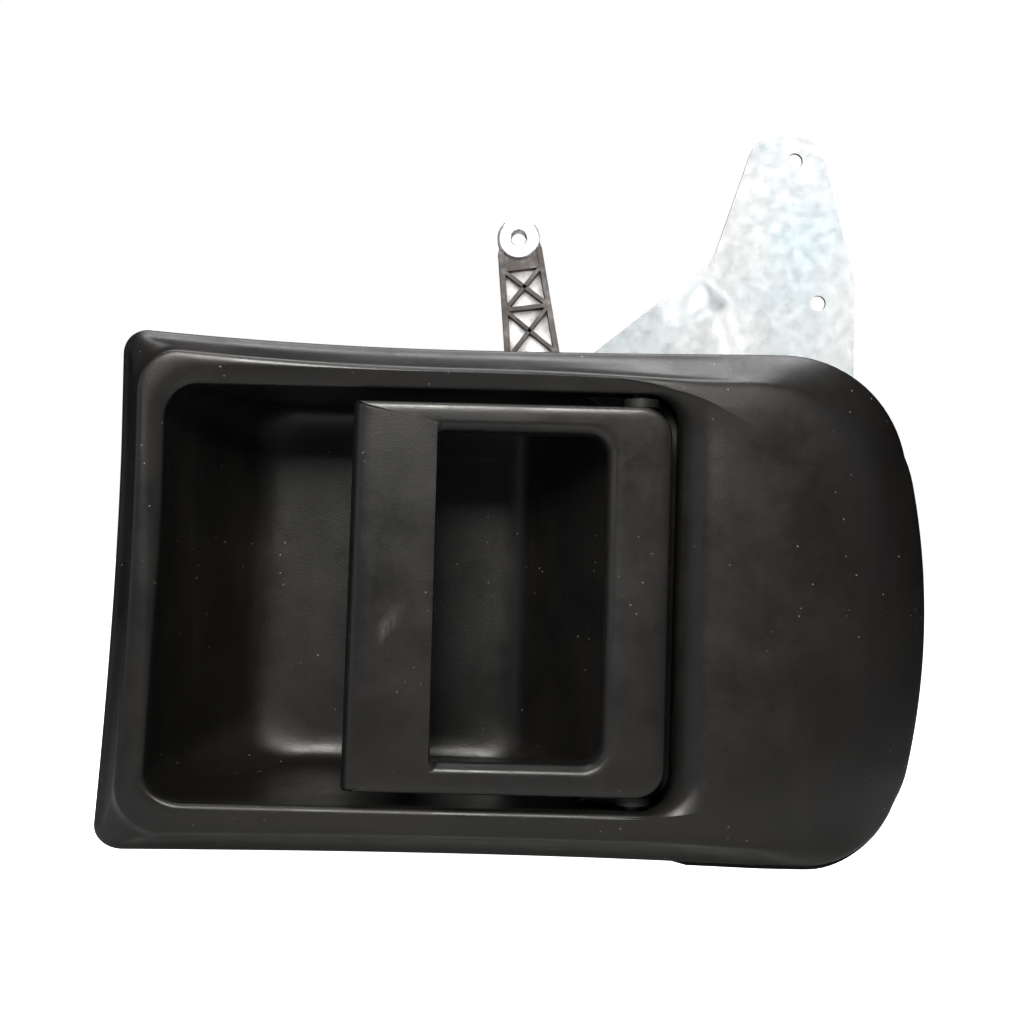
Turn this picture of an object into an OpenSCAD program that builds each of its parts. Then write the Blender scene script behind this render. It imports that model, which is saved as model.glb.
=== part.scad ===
// Outside handle of a van's sliding door: bezel, finger bowl, loop handle on an upright
// hinge, drive arm, release lever and its bracket. X right, Y into the door, Z up, mm.
// The origin is the centre of the four mounting studs on the door skin (y = 0).

/* [Bezel] */
// Left edge of the bezel at its top
bezel_left = -94; // [-110:0.5:-80]
// Right edge of the bezel where its corners begin
bezel_right = 118.5; // [100:0.5:140]
// Top edge of the bezel at its middle
bezel_top = 68.3; // [60:0.1:80]
// Bottom edge of the bezel at its middle
bezel_bottom = -67.8; // [-80:0.1:-60]
// Front of the ring around the bowl
ring_front = -14; // [-18:0.5:-10]
// Wall of the mouldings
wall = 2.5; // [1.5:0.1:3.5]
// Bulge of the right end
end_bulge = 5.7; // [0:0.1:10]
// Thickness of the gasket
gasket_t = 1.2; // [0.8:0.1:3]

/* [Bowl] */
// Left edge of the bowl's mouth
mouth_left = -82.5; // [-90:0.5:-70]
// Right edge of the bowl's mouth
mouth_right = 56.4; // [50:0.1:65]
// Top edge of the bowl's mouth
mouth_top = 57; // [50:0.1:62]
// Bottom edge of the bowl's mouth
mouth_bottom = -54.2; // [-60:0.1:-48]
// Corner radius of the mouth
mouth_r = 9; // [4:0.5:16]
// Depth of the bowl's floor behind the skin
floor_y = 36; // [25:0.5:45]
// Ledge behind the hinge
ledge_y = 1.2; // [0.8:0.1:3]

/* [Handle] */
// Face of the handle
face_y = -15; // [-18:0.5:-12]
// Rear of the handle
back_y = -2; // [-4:0.5:-1]
// Left edge of the handle
grip_left = -32; // [-40:0.5:-25]
// Right edge of the handle
grip_right = 54.2; // [48:0.1:56]
// Top edge of the handle
grip_top = 53.7; // [45:0.1:56]
// Bottom edge of the handle
grip_bottom = -50.5; // [-53:0.1:-40]
// Left edge of the handle's window
win_left = -8.2; // [-15:0.1:0]
// Right edge of the handle's window
win_right = 37; // [30:0.1:40]
// Top edge of the handle's window
win_top = 45.5; // [35:0.1:48]
// Bottom edge of the handle's window
win_bottom = -41.4; // [-45:0.1:-30]
// Bevel around the window
win_bevel = 2.6; // [0:0.1:4]

/* [Hinge] */
// Hinge axis, across
hinge_x = 46; // [44:0.1:48]
// Hinge axis, depth
hinge_y = -7.5; // [-9:0.1:-6]
// Radius of the hinge pin
pin_r = 2.5; // [2:0.1:3]
// Lean of the drive arm at rest
arm_lean = 10; // [5:0.5:15]
// Length of the drive arm from the hinge axis to its nose
arm_len = 56.4; // [50:0.1:60]
// Underside of the arm's blade
arm_z = -36; // [-38:0.5:-30]

/* [Lever] */
// Pivot of the release lever, across
piv_x = 24; // [15:0.5:30]
// Pivot of the release lever, height
piv_z = 20.8; // [15:0.1:30]
// Rod hole of the lever, across
tip_x = 12; // [5:0.5:20]
// Rod hole of the lever, height
tip_z = 105; // [90:0.5:115]
// Lever front and rear
lever_y0 = 44.5; // [44:0.1:46]
lever_y1 = 51; // [49:0.1:53]
// Rounded end of the lever's tail, across
boss_x = 46.35; // [40:0.01:50]
// Rounded end of the lever's tail, height
boss_z = -23.3; // [-30:0.1:-20]

/* [Bracket] */
// Front of the bracket's lower part
plate_y = 41.5; // [40:0.5:43]
// Step of the bracket's upper part
plate_step = 5; // [3:0.5:7]
// Sheet thickness
sheet = 2; // [1.5:0.1:3]
// Radius of the bracket's open holes
hole_r = 2.25; // [2:0.05:3]

/* [Mounting] */
// Half the stud spacing across
stud_x = 86; // [80:0.5:90]
// Half the stud spacing upwards
stud_z = 60; // [55:0.5:65]
// Radius of the studs
stud_r = 2.5; // [2:0.1:4]

/* [Hidden] */
nc = 6;
ne = 8;
n_ring = 4 * (nc + 1) + 4 * (ne - 1);
nose_x = hinge_x + arm_len * sin(arm_lean);
nose_y = hinge_y + arm_len * cos(arm_lean);
nose_r = 4;
blade_t = 5;
eye_r = 5.4;
slot_z0 = arm_z - 0.4;
slot_z1 = arm_z + blade_t + 1.2;
coil_z0 = 17;
coil_z1 = 35;
screw_x = 51.2;
screw_zs = [-24, -16];
boss_pts = [[-12, 42], [-12, -38], [51.5, 50], [51.5, -46]];
lever_len = norm([tip_x - piv_x, tip_z - piv_z]);
lever_lean = atan2(piv_x - tip_x, tip_z - piv_z);

function mix(a, b, t) = a + (b - a) * t;
function sm(a, b, x) = let (t = max(0, min(1, (x - a) / (b - a)))) t * t * (3 - 2 * t);
function seg(a, b) = [for (i = [1:ne - 1]) a + (b - a) * i / ne];
function arc(cx, cz, r, a0) =
    [for (i = [0:nc]) [cx + r * cos(a0 + 90 * i / nc), cz + r * sin(a0 + 90 * i / nc)]];
// A closed loop with four corner radii, from the bottom right corner upwards
function loop(xl, xr, zb, zt, rtl, rtr, rbr, rbl) = concat(
    arc(xr - rbr, zb + rbr, rbr, -90), seg([xr, zb + rbr], [xr, zt - rtr]),
    arc(xr - rtr, zt - rtr, rtr, 0), seg([xr - rtr, zt], [xl + rtl, zt]),
    arc(xl + rtl, zt - rtl, rtl, 90), seg([xl, zt - rtl], [xl, zb + rbl]),
    arc(xl + rbl, zb + rbl, rbl, 180), seg([xl + rbl, zb], [xr - rbr, zb]));
// The bezel's slightly hollow edges and rounded right end
function pull(p, k = 1) = let (x = p[0], z = p[1],
    dl = x < 0 ? -5 * pow(-x / 94, 4) * pow(max(0, (40 - z) / 101), 1.6) : 0,
    dr = x > 0 ? k * end_bulge * pow(x / 118.5, 4) * max(0, 1 - pow((z + 4) / 46, 2)) : 0,
    zt = x < 0 ? 3.1 * pow(x / 84, 2) : 0.7 * min(1, pow(x / 75, 2)),
    zb = x < 0 ? -1 * pow(x / 89, 2) : -1.1 * min(1, pow(x / 80, 2)))
    [x + dl + dr, z + (z > 0 ? zt * z / 68 : zb * -z / 68)];
function outline(in = 0) = [for (p = loop(bezel_left + in, bezel_right - in, bezel_bottom + in,
    bezel_top - in, max(1, 7 - in), 33.5 - in, 26 - in, max(1, 7 - in))) pull(p)];
function ridge(in = 0) = [for (p = loop(-89.4 + in, 102.5 - in, -63 + in, 62.9 - in, 8 - in / 2,
    30 - in, 25 - in, 8 - in / 2)) pull(p, 0.6)];
function mouth(out = 0) = loop(mouth_left - out, mouth_right + out, mouth_bottom - out,
    mouth_top + out, mouth_r + out, mouth_r + out, mouth_r + out, mouth_r + out);
// Puts a loop at a depth that differs at the hinge side
function deep(pts, y_left, y_hinge) =
    [for (i = [0:len(pts) - 1]) let (w = sm(51, mouth_right, mouth()[i][0]))
        [pts[i][0], mix(y_left, y_hinge, w), pts[i][1]]];
function flat(pts, y) = [for (p = pts) [p[0], y, p[1]]];

// Skin over a list of equal rings; closed round, or capped at both ends
module skin(rings, closed = true) {
    m = len(rings);
    n = len(rings[0]);
    last = closed ? m - 1 : m - 2;
    sides = [for (j = [0:last], i = [0:n - 1]) each [
        [j * n + i, j * n + (i + 1) % n, ((j + 1) % m) * n + i],
        [j * n + (i + 1) % n, ((j + 1) % m) * n + (i + 1) % n, ((j + 1) % m) * n + i]]];
    k = n == n_ring ? floor(nc / 2) : 0;
    caps = closed ? [] : [[for (i = [n - 1:-1:0]) (i + k) % n],
        [for (i = [0:n - 1]) (m - 1) * n + (i + k) % n]];
    polyhedron(points = [for (r = rings) each r], faces = concat(sides, caps), convexity = 8);
}
module along_y(y0, y1) translate([0, y1, 0]) rotate([90, 0, 0]) linear_extrude(y1 - y0) children();
module ycyl(x, z, y0, y1, r) translate([x, y1, z]) rotate([90, 0, 0])
    cylinder(h = y1 - y0, r = r, $fn = 48);
module zcyl(x, y, z0, z1, r) translate([x, y, z0]) cylinder(h = z1 - z0, r = r, $fn = 48);
module box(lo, hi) translate(lo) cube(hi - lo);
// Round wire along a list of points
module wire(pts, r) {
    n = 6;
    m = len(pts);
    rings = [for (j = [0:m - 1])
        let (t = pts[min(m - 1, j + 1)] - pts[max(0, j - 1)], d = t / norm(t),
            up = abs(d[1]) > 0.8 ? [0, 0, 1] : [0, 1, 0],
            a = cross(d, up) / norm(cross(d, up)), b = cross(d, a))
        [for (i = [0:n - 1]) pts[j] + r * (a * cos(360 * i / n) + b * sin(360 * i / n))]];
    skin(rings, closed = false);
}

module bezel() color([0.1, 0.1, 0.1]) union() {
    // From the outer rim over the front into the mouth, and back along the underside
    section = [
        flat(outline(), -gasket_t),
        flat(outline(0.2), -4),
        deep(ridge(), -13, -12.6),
        deep(ridge(1.6), ring_front, -13.8),
        deep([for (p = mouth(3.4)) p + [p[0] > 40 ? 3.5 : 0, 0]], ring_front, ring_front),
        deep(mouth(0.5), -13.4, -9.6),
        deep(mouth(0), -12.4, -8.6),
        deep(mouth(0), -11, -6),
        deep(mouth(wall), -11, -6),
        deep(ridge(2.6), ring_front + wall, ring_front + wall + 0.2),
        flat(outline(wall), -3.6),
        flat(outline(wall), -gasket_t),
    ];
    skin([for (i = [len(section) - 1:-1:0]) section[i]]);
    for (sx = [-1, 1], sz = [-1, 1])
        ycyl(sx * stud_x, sz * stud_z, sx < 0 ? -12.3 : -8.4, -3.2, 4.2);
}

// Inner loop of the bowl at a share t of its depth, with the hinge side at xr
function bowl_loop(t, xr, out = 0) = loop(
    mix(mouth_left, -57, pow(t, 1.7)) - out, xr + out,
    mix(mouth_bottom, -43.8, pow(t, 1.6)) - out, mix(mouth_top, 50, pow(t, 1.5)) + out,
    mouth_r + 3 * t + out, mouth_r + out, mouth_r + out, mouth_r + 5 * t + out);
// Where a bracket screw ends: short over the floor, longer in the tall posts
function post_y(p) = p[0] < 0 ? floor_y + 1.5 : plate_y - 11;
function share(y) = max(0, (y + 11) / (floor_y + 11));
function wall_x(y) = mix(38.5, 17, (y - ledge_y) / (floor_y - ledge_y));
module finger_bowl() color([0.06, 0.06, 0.06]) difference() {
    union() {
        inner = concat(
            [deep(bowl_loop(0, mouth_right), -10.9, -5.9)],
            [for (y = [-3, ledge_y - 0.2]) flat(bowl_loop(share(y), mouth_right), y)],
            [for (y = [ledge_y, 10, 19, 27, 32]) flat(bowl_loop(share(y), wall_x(y)), y)],
            [flat(bowl_loop(0.98, 18, -1.2), 34.9), flat(bowl_loop(1, 17, -4), floor_y)]);
        outer = concat(
            [deep(bowl_loop(0, mouth_right, wall), -10.9, -5.9)],
            [for (y = [-3, ledge_y + wall - 0.2]) flat(bowl_loop(share(y), mouth_right, wall), y)],
            [for (y = [ledge_y + wall, 12, 21, 29, 34])
                flat(bowl_loop(share(y), wall_x(y), wall), y)],
            [flat(bowl_loop(0.98, 18, 1.2), 37.2), flat(bowl_loop(1, 17, -2), floor_y + wall)]);
        m = len(inner);
        skin(concat([for (i = [m - 1:-1:0]) inner[i]], outer), closed = false);
        // Bosses for the hinge pin and posts for the bracket
        box([41.5, -10.9, mouth_top + 0.4], [50.5, -2, 59.9]);
        box([41.5, -10.9, -58.6], [50.5, -2, mouth_bottom - 0.4]);
        for (p = boss_pts) ycyl(p[0], p[1], p[0] < 0 ? floor_y + 1 : ledge_y + 1, plate_y, 4.5);
    }
    zcyl(hinge_x, hinge_y, -70, 70, pin_r + 0.02);
    box([38.9, ledge_y - 2, slot_z0 - 1.4], [53.6, ledge_y + wall + 3, slot_z1 + 1]);
    for (p = boss_pts) ycyl(p[0], p[1], post_y(p) - 0.3, plate_y + 1, 2.05);
}
module gasket() color([0.05, 0.05, 0.05]) {
    // It shows below the bezel along the lower right edge
    hang = [for (p = outline(0.5)) p + [0, p[1] < -40 ? -1.9 * sm(52, 62, p[0]) : 0]];
    along_y(-gasket_t, 0) difference() {
        polygon(hang);
        polygon(outline(3.2));
    }
}
module mounting_studs() color([0.7, 0.7, 0.66]) for (sx = [-1, 1], sz = [-1, 1]) {
    ycyl(sx * stud_x, sz * stud_z, -3.2, -gasket_t - 0.4, 4);
    ycyl(sx * stud_x, sz * stud_z, -gasket_t - 0.5, 18, stud_r);
}

function grip_x(z) = grip_left - 1.4 * (grip_top - z) / (grip_top - grip_bottom);
module handle_grip() color([0.12, 0.12, 0.12]) difference() {
    along_y(face_y, back_y) difference() {
        polygon(concat(
            [[grip_x(grip_bottom), grip_bottom]],
            arc(grip_right - 8, grip_bottom + 8, 8, -90), arc(grip_right - 8, grip_top - 8, 8, 0),
            [[grip_x(grip_top), grip_top]]));
        polygon(concat(
            [[win_left - 0.6, win_bottom]],
            arc(win_right - 5, win_bottom + 5, 5, -90), arc(win_right - 5, win_top - 5, 5, 0),
            [[win_left + 0.4, win_top]]));
    }
    // Bevels of the window and of the left edge
    c = win_bevel;
    for (e = [[win_top, 1], [win_bottom, -1]])
        translate([win_left, face_y, e[0]]) rotate([90, 0, 90]) linear_extrude(win_right - win_left)
            polygon([[-1, -e[1]], [-1, e[1] * (c + 1)], [c, -e[1] * 0.01]]);
    translate([win_right, face_y, win_bottom]) linear_extrude(win_top - win_bottom)
        polygon([[-1, -1], [c + 1, -1], [-0.01, c]]);
    translate([grip_x(0), face_y, grip_bottom - 1]) linear_extrude(grip_top - grip_bottom + 2)
        polygon([[-4, -1], [3.2, -1], [-0.6, 3.5], [-4, 3.5]]);
    // Hinge bore, bush seats, pocket and recess for the arm, pocket for the spring
    zcyl(hinge_x, hinge_y, grip_bottom - 1, grip_top + 1, pin_r + 0.25);
    for (z = [grip_bottom - 1, grip_top - 8]) zcyl(hinge_x, hinge_y, z, z + 9, 3.52);
    box([40.2, -13.2, slot_z0], [52.4, back_y + 1, slot_z1]);
    box([40.2, -4.6, slot_z1 - 1], [53.4, back_y + 1, -12]);
    box([40.2, -13.2, coil_z0], [52.6, back_y + 1, coil_z1]);
    for (z = screw_zs) ycyl(screw_x, z, -11.5, -3, 1.3);
}
module hinge_pin() color([0.7, 0.7, 0.72]) difference() {
    union() {
        zcyl(hinge_x, hinge_y, -60.4, 60, pin_r);
        zcyl(hinge_x, hinge_y, 59.95, 60.9, 3.2);
    }
    difference() {
        zcyl(hinge_x, hinge_y, -59.6, -58.8, 4);
        zcyl(hinge_x, hinge_y, -60, -58, 1.9);
    }
}
module hinge_pin_clip() color([0.6, 0.6, 0.6]) difference() {
    zcyl(hinge_x, hinge_y, -59.55, -58.85, 3.2);
    zcyl(hinge_x, hinge_y, -61, -58, 1.95);
    box([hinge_x - 1.2, hinge_y, -61], [hinge_x + 1.2, hinge_y + 5, -58]);
}
module hinge_bushes() color([0.85, 0.83, 0.75]) for (s = [[grip_top - 7.9, grip_top, 1], [grip_bottom + 7.9, grip_bottom, -1]])
    difference() {
        union() {
            zcyl(hinge_x, hinge_y, min(s[0], s[1]), max(s[0], s[1]), 3.5);
            zcyl(hinge_x, hinge_y, min(s[1], s[1] + s[2] * 2.2), max(s[1], s[1] + s[2] * 2.2), 4.8);
        }
        zcyl(hinge_x, hinge_y, min(s[0], s[1]) - 4, max(s[0], s[1]) + 4, pin_r + 0.05);
    }
module handle_return_spring() color([0.55, 0.55, 0.55]) {
    turns = 8.5;
    steps = 12;
    coil = [for (i = [0:turns * steps]) let (a = -360 * i / steps)
        [hinge_x + 4.1 * cos(a), hinge_y + 4.1 * sin(a), coil_z0 + 2.5 + 13 * i / (turns * steps)]];
    wire(concat([[hinge_x + 4.1, ledge_y - 0.75, coil_z0 + 2.5]], coil,
        [[hinge_x - 4.1, -12.5, coil_z0 + 15.6]]), 0.6);
}

module drive_arm() color([0.62, 0.62, 0.6]) difference() {
    union() {
        zcyl(hinge_x, hinge_y, slot_z0 + 0.3, slot_z1 - 0.3, eye_r);
        translate([hinge_x, hinge_y, arm_z]) rotate(-arm_lean) linear_extrude(blade_t)
            polygon([[-5, 3], [-3.6, 14], [-3.5, arm_len - 8], [-3, arm_len], [0, arm_len + 3.4],
                [3, arm_len], [3.5, arm_len - 8], [3.6, 14], [5, 3]]);
        box([41, -4.5, slot_z1 - 0.6], [53, back_y, -12.4]);
        zcyl(nose_x, nose_y, arm_z + 1, -20.2, 2.5);
    }
    zcyl(hinge_x, hinge_y, arm_z - 3, arm_z + 30, pin_r + 0.08);
    for (z = screw_zs) {
        ycyl(screw_x, z, -6, 0, 1.35);
        ycyl(screw_x, z, -3.3, 0, 1.75 + 0.05);
    }
}
module drive_arm_screws() color([0.5, 0.5, 0.5]) for (z = screw_zs) {
    ycyl(screw_x, z, -11, -3.3, 1.25);
    ycyl(screw_x, z, -3.3, back_y - 0.1, 1.75);
}
module pusher_cap() color([0.9, 0.88, 0.8]) difference() {
    zcyl(nose_x, nose_y, arm_z + blade_t + 0.1, -18.8, nose_r);
    zcyl(nose_x, nose_y, arm_z, -20.1, 2.52);
}
module stop_buffer(x_edge, s) {
    z0 = arm_z - 2.6;
    difference() {
        box([min(x_edge - s * 2, x_edge + s * 4), plate_y - 1.8, z0],
            [max(x_edge - s * 2, x_edge + s * 4), plate_y + sheet + 0.8, z0 + 5]);
        box([min(x_edge, x_edge + s * 6), plate_y, z0 - 1],
            [max(x_edge, x_edge + s * 6), plate_y + sheet, z0 + 6]);
    }
}
win_lo = 30.2;
win_hi = 61.2;
module closed_stop_buffer() color([0.08, 0.08, 0.08]) stop_buffer(win_hi, 1);
module open_stop_buffer() color([0.08, 0.08, 0.08]) stop_buffer(win_lo, -1);

// The joggle line of the bracket at height z
function jog_x(z) = z > 85.7 ? mix(71.4, 66.8, (z - 85.7) / 3.3) : mix(71.4, 75, (85.7 - z) / 12.7);
module bracket_plate() color([0.72, 0.74, 0.7]) {
    y2 = plate_y + plate_step;
    difference() {
        union() {
            along_y(plate_y, plate_y + sheet) polygon([[-20, -46], [66, -54], [67, 40], [79, 56],
                [jog_x(73), 73], [71.4, 85.7], [66.8, 89], [62, 94.2], [35.9, 72.8], [12, 54], [-20, 50]]);
            along_y(plate_y, y2 + sheet) polygon([[79, 56], [82, 56], [jog_x(73) + 2.4, 73],
                [73.5, 86.6], [68.5, 91], [64.6, 96.3], [62, 94.2], [66.8, 89], [71.4, 85.7], [jog_x(73), 73]]);
            along_y(y2, y2 + sheet) polygon([[82, 56], [111.4, 56], [111.2, 70.5], [110.7, 94.7],
                [109.8, 98.7], [100.5, 132.4], [98.9, 134.7], [96.8, 136], [92.8, 136.9], [84.9, 136.7],
                [82.6, 135.9], [81, 134.4], [79.2, 131.1], [69.6, 101.6], [68.8, 99.8], [64.6, 96.3],
                [68.5, 91], [73.5, 86.6], [jog_x(73) + 2.4, 73]]);
        }
        ycyl(92.5, 129.9, 40, 52, hole_r);
        ycyl(100.3, 88.3, 40, 52, hole_r);
        box([win_lo, 40, -39], [win_hi, 46, -17.4]);
        ycyl(piv_x, piv_z, 40, 46, 4.02);
        ycyl(4, piv_z + 8, 40, 46, 1.1);
        for (p = boss_pts) ycyl(p[0], p[1], 40, 46, 2.25);
    }
}
module bracket_screws() color([0.62, 0.62, 0.6]) for (p = boss_pts) {
    ycyl(p[0], p[1], post_y(p), plate_y + sheet, 2);
    difference() {
        ycyl(p[0], p[1], plate_y + sheet, plate_y + sheet + 2.6, 3.8);
        along_y(plate_y + sheet + 1.2, plate_y + sheet + 3) translate(p) circle(r = 2, $fn = 6);
    }
}

// Half the lever's width at a distance s below its rod hole
function half_w(s) = 6.4 + 0.053 * s;
module lever_frame() translate([tip_x, 0, tip_z]) rotate([0, -lever_lean, 0]) children();
module bar(a, b, t) {
    d = (b - a) / norm(b - a);
    n = [-d[1], d[0]] * t / 2;
    polygon([a + n, b + n, b - n, a - n]);
}
module release_lever() color([0.75, 0.74, 0.72]) {
    cells = [-8.5, -20.3, -34.5, -49, -63.5];
    w_at = [for (c = cells) half_w(-c)];
    difference() {
        union() {
            lever_frame() {
                along_y(lever_y1 - 1.8, lever_y1) polygon([[-half_w(4), -4], [-6.3, 0], [-4.4, 4.4],
                    [0, 6.3], [4.4, 4.4], [6.3, 0], [half_w(4), -4], [half_w(66), -66],
                    [8, -lever_len], [-8, -lever_len], [-half_w(66), -66]]);
                along_y(lever_y0 - 0.4, lever_y1) {
                    polygon([for (i = [0:17]) let (a = 20 * i) [6.3 * cos(a), 6.3 * sin(a)]]);
                    polygon([[-6.3, 0], [6.3, 0], [half_w(4), -4], [half_w(5) - 1, -5], [-half_w(5) + 1, -5],
                        [-half_w(4), -4]]);
                }
                along_y(lever_y0, lever_y1) {
                    for (s = [-1, 1]) bar([s * (half_w(3) - 0.9), -3], [s * (half_w(70) - 0.9), -74], 1.9);
                    for (i = [0:len(cells) - 1]) bar([-w_at[i] + 1, cells[i]], [w_at[i] - 1, cells[i]], 1.7);
                    for (i = [0:len(cells) - 2]) {
                        bar([-w_at[i] + 1, cells[i]], [w_at[i + 1] - 1, cells[i + 1]], 1.7);
                        bar([w_at[i] - 1, cells[i]], [-w_at[i + 1] + 1, cells[i + 1]], 1.7);
                    }
                }
            }
            ycyl(piv_x, piv_z, 43.9, lever_y1 + 0.5, 11);
            ycyl(piv_x, piv_z, lever_y1, 56.5, 6.5);
            along_y(lever_y0 + 0.3, lever_y1 - 0.6)
                bar([piv_x, piv_z], [boss_x, boss_z], 9);
            ycyl(boss_x, boss_z, lever_y0, lever_y1 + 0.5, 5);
        }
        ycyl(piv_x, piv_z, 40, 60, 5.02);
        ycyl(tip_x, tip_z, 40, 60, 2.2);
    }
}
module lever_bush() color([0.85, 0.83, 0.75]) difference() {
    ycyl(piv_x, piv_z, 43.9, 56.5, 5);
    ycyl(piv_x, piv_z, 40, 60, 4.05);
}
module lever_pivot_stud() color([0.66, 0.66, 0.64]) difference() {
    union() {
        ycyl(piv_x, piv_z, 39.3, plate_y, 6.5);
        ycyl(piv_x, piv_z, plate_y - 0.5, 60.4, 4);
    }
    difference() {
        ycyl(piv_x, piv_z, 57.9, 58.9, 6);
        ycyl(piv_x, piv_z, 57.5, 59.5, 3.2);
    }
}
module lever_washer() color([0.7, 0.7, 0.68]) difference() {
    ycyl(piv_x, piv_z, 56.8, 57.8, 7.6);
    ycyl(piv_x, piv_z, 56, 59, 4.1);
}
module lever_circlip() color([0.4, 0.4, 0.4]) difference() {
    ycyl(piv_x, piv_z, 57.95, 58.85, 5.8);
    ycyl(piv_x, piv_z, 57, 60, 3.25);
    box([piv_x - 1.6, 57, piv_z - 8], [piv_x + 1.6, 60, piv_z]);
}
module lever_return_spring() color([0.55, 0.55, 0.55]) {
    turns = 2.75;
    steps = 16;
    coil = [for (i = [0:turns * steps]) let (a = 90 - 360 * i / steps)
        [piv_x + 7.7 * cos(a), 55.6 - 3.3 * i / (turns * steps), piv_z + 7.7 * sin(a)]];
    end = coil[len(coil) - 1];
    wire(concat([[4, plate_y + 0.3, piv_z + 8], [4, 46, piv_z + 8], [4, 53.8, piv_z + 7.9],
        [4.5, 55.2, piv_z + 7.8], [6.2, 55.7, piv_z + 7.7]], coil,
        [end + [-1, 0.1, -12], end + [2, 0.2, -20]]), 0.7);
}

bezel();
finger_bowl();
gasket();
mounting_studs();
handle_grip();
hinge_pin();
hinge_pin_clip();
hinge_bushes();
handle_return_spring();
drive_arm();
drive_arm_screws();
pusher_cap();
closed_stop_buffer();
open_stop_buffer();
bracket_plate();
bracket_screws();
release_lever();
lever_bush();
lever_pivot_stud();
lever_washer();
lever_circlip();
lever_return_spring();
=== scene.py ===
"""Sliding door outside handle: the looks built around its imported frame, laid out as an add-on."""

import math
from types import SimpleNamespace

import bmesh
import bpy
import numpy as np
from mathutils import Matrix, Vector, geometry


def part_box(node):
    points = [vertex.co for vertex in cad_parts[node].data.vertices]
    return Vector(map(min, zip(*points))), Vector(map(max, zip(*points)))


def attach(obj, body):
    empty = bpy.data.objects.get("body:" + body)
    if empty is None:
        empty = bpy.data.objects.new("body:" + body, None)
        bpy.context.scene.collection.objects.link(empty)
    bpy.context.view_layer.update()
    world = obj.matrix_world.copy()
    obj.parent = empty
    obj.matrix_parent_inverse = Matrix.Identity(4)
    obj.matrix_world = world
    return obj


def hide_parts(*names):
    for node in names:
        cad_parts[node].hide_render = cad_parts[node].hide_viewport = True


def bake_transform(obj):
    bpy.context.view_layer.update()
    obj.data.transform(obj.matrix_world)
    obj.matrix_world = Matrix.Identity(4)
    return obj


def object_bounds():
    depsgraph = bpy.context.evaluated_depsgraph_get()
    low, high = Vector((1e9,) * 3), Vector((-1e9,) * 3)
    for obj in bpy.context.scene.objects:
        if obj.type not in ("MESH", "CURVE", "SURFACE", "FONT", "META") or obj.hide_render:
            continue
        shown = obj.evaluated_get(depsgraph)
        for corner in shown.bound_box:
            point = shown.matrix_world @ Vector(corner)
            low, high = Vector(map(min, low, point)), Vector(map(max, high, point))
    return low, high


bl_info = {
    "name": "Sliding door handle",
    "version": (1, 0, 0),
    "blender": (4, 5, 0),
    "location": "View3D > Sidebar > Door handle",
    "description": "Builds a sliding door outside handle, its materials and its stage",
    "category": "Object",
}

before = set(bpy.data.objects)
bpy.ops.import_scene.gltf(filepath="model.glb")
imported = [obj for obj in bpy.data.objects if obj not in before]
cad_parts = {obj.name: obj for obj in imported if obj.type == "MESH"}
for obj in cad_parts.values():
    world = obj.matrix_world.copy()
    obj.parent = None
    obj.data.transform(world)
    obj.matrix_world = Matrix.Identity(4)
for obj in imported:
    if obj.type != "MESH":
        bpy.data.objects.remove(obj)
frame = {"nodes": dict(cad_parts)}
CAD_LO, CAD_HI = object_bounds()
# One millimetre in Blender's metres; shapes are worked out in mm and made in metres
MM = 0.001
# Points along a quarter circle and along a straight edge of a loop
ARC_STEPS = 22
EDGE_STEPS = 44
# In mm: the radius that stands for a closed end, and how near points are made one
PINHOLE, MERGE = 0.001, 0.002
# In mm: the rounding of the edges of small parts
SMALL_PART_EDGE = 0.12
# Across and height of the posts that carry the bracket, in mm
POSTS = ((-12, 42), (-12, -38), (51.5, 50), (51.5, -46))


# ---------------------------------------------------------------- properties


def number(name, default, description):
    """A length: given here in mm, held in metres."""
    return bpy.props.FloatProperty(name=name, default=default * MM, description=description,
                                   unit="LENGTH", precision=5)


def power(name, default, description):
    """A lamp's power in W."""
    return bpy.props.FloatProperty(name=name, default=default, description=description,
                                   unit="POWER", min=0)


def color(name, default, description):
    """A linear colour of red, green and blue."""
    return bpy.props.FloatVectorProperty(name=name, default=default, description=description,
                                         subtype="COLOR", size=3, min=0, max=1, precision=4)


def in_mm(group):
    """The lengths of a property group in mm."""
    names = [k for k in group.__annotations__ if group.bl_rna.properties[k].unit == "LENGTH"]
    return SimpleNamespace(**{k: getattr(group, k) / MM for k in names})


class DoorHandleBezel(bpy.types.PropertyGroup):
    """Sizes and colour of the bezel"""

    left: number("Left", -94.0, "Left edge at the top")
    right: number("Right", 118.5, "Right edge where its corners begin")
    top: number("Top", 68.3, "Top edge at the middle")
    bottom: number("Bottom", -67.8, "Bottom edge at the middle")
    bulge: number("End bulge", 5.7, "How far the right end swells out")
    ring_y: number("Ring front", -14.0, "Front of the ring around the bowl")
    rim_y: number("Rear rim", -1.2, "Rear edge that sits on the gasket")
    wall: number("Wall", 2.5, "Wall thickness of the mouldings")
    plastic: color("Plastic", (0.0036, 0.0034, 0.0032), "Colour of the bezel's plastic")


class DoorHandleBowl(bpy.types.PropertyGroup):
    """Sizes and colour of the finger bowl"""

    left: number("Left", -82.4, "Left edge of the mouth at its middle")
    right: number("Right", 56.4, "Right edge of the mouth")
    top: number("Top", 57.0, "Top edge of the mouth")
    bottom: number("Bottom", -54.2, "Bottom edge of the mouth")
    radius: number("Corner", 9.0, "Corner radius of the mouth")
    floor_y: number("Floor", 36.0, "Depth of the floor")
    ledge_y: number("Ledge", 1.2, "Depth of the ledge behind the hinge")
    plastic: color("Plastic", (0.0036, 0.0034, 0.0032), "Colour of the bowl's plastic")


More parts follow.
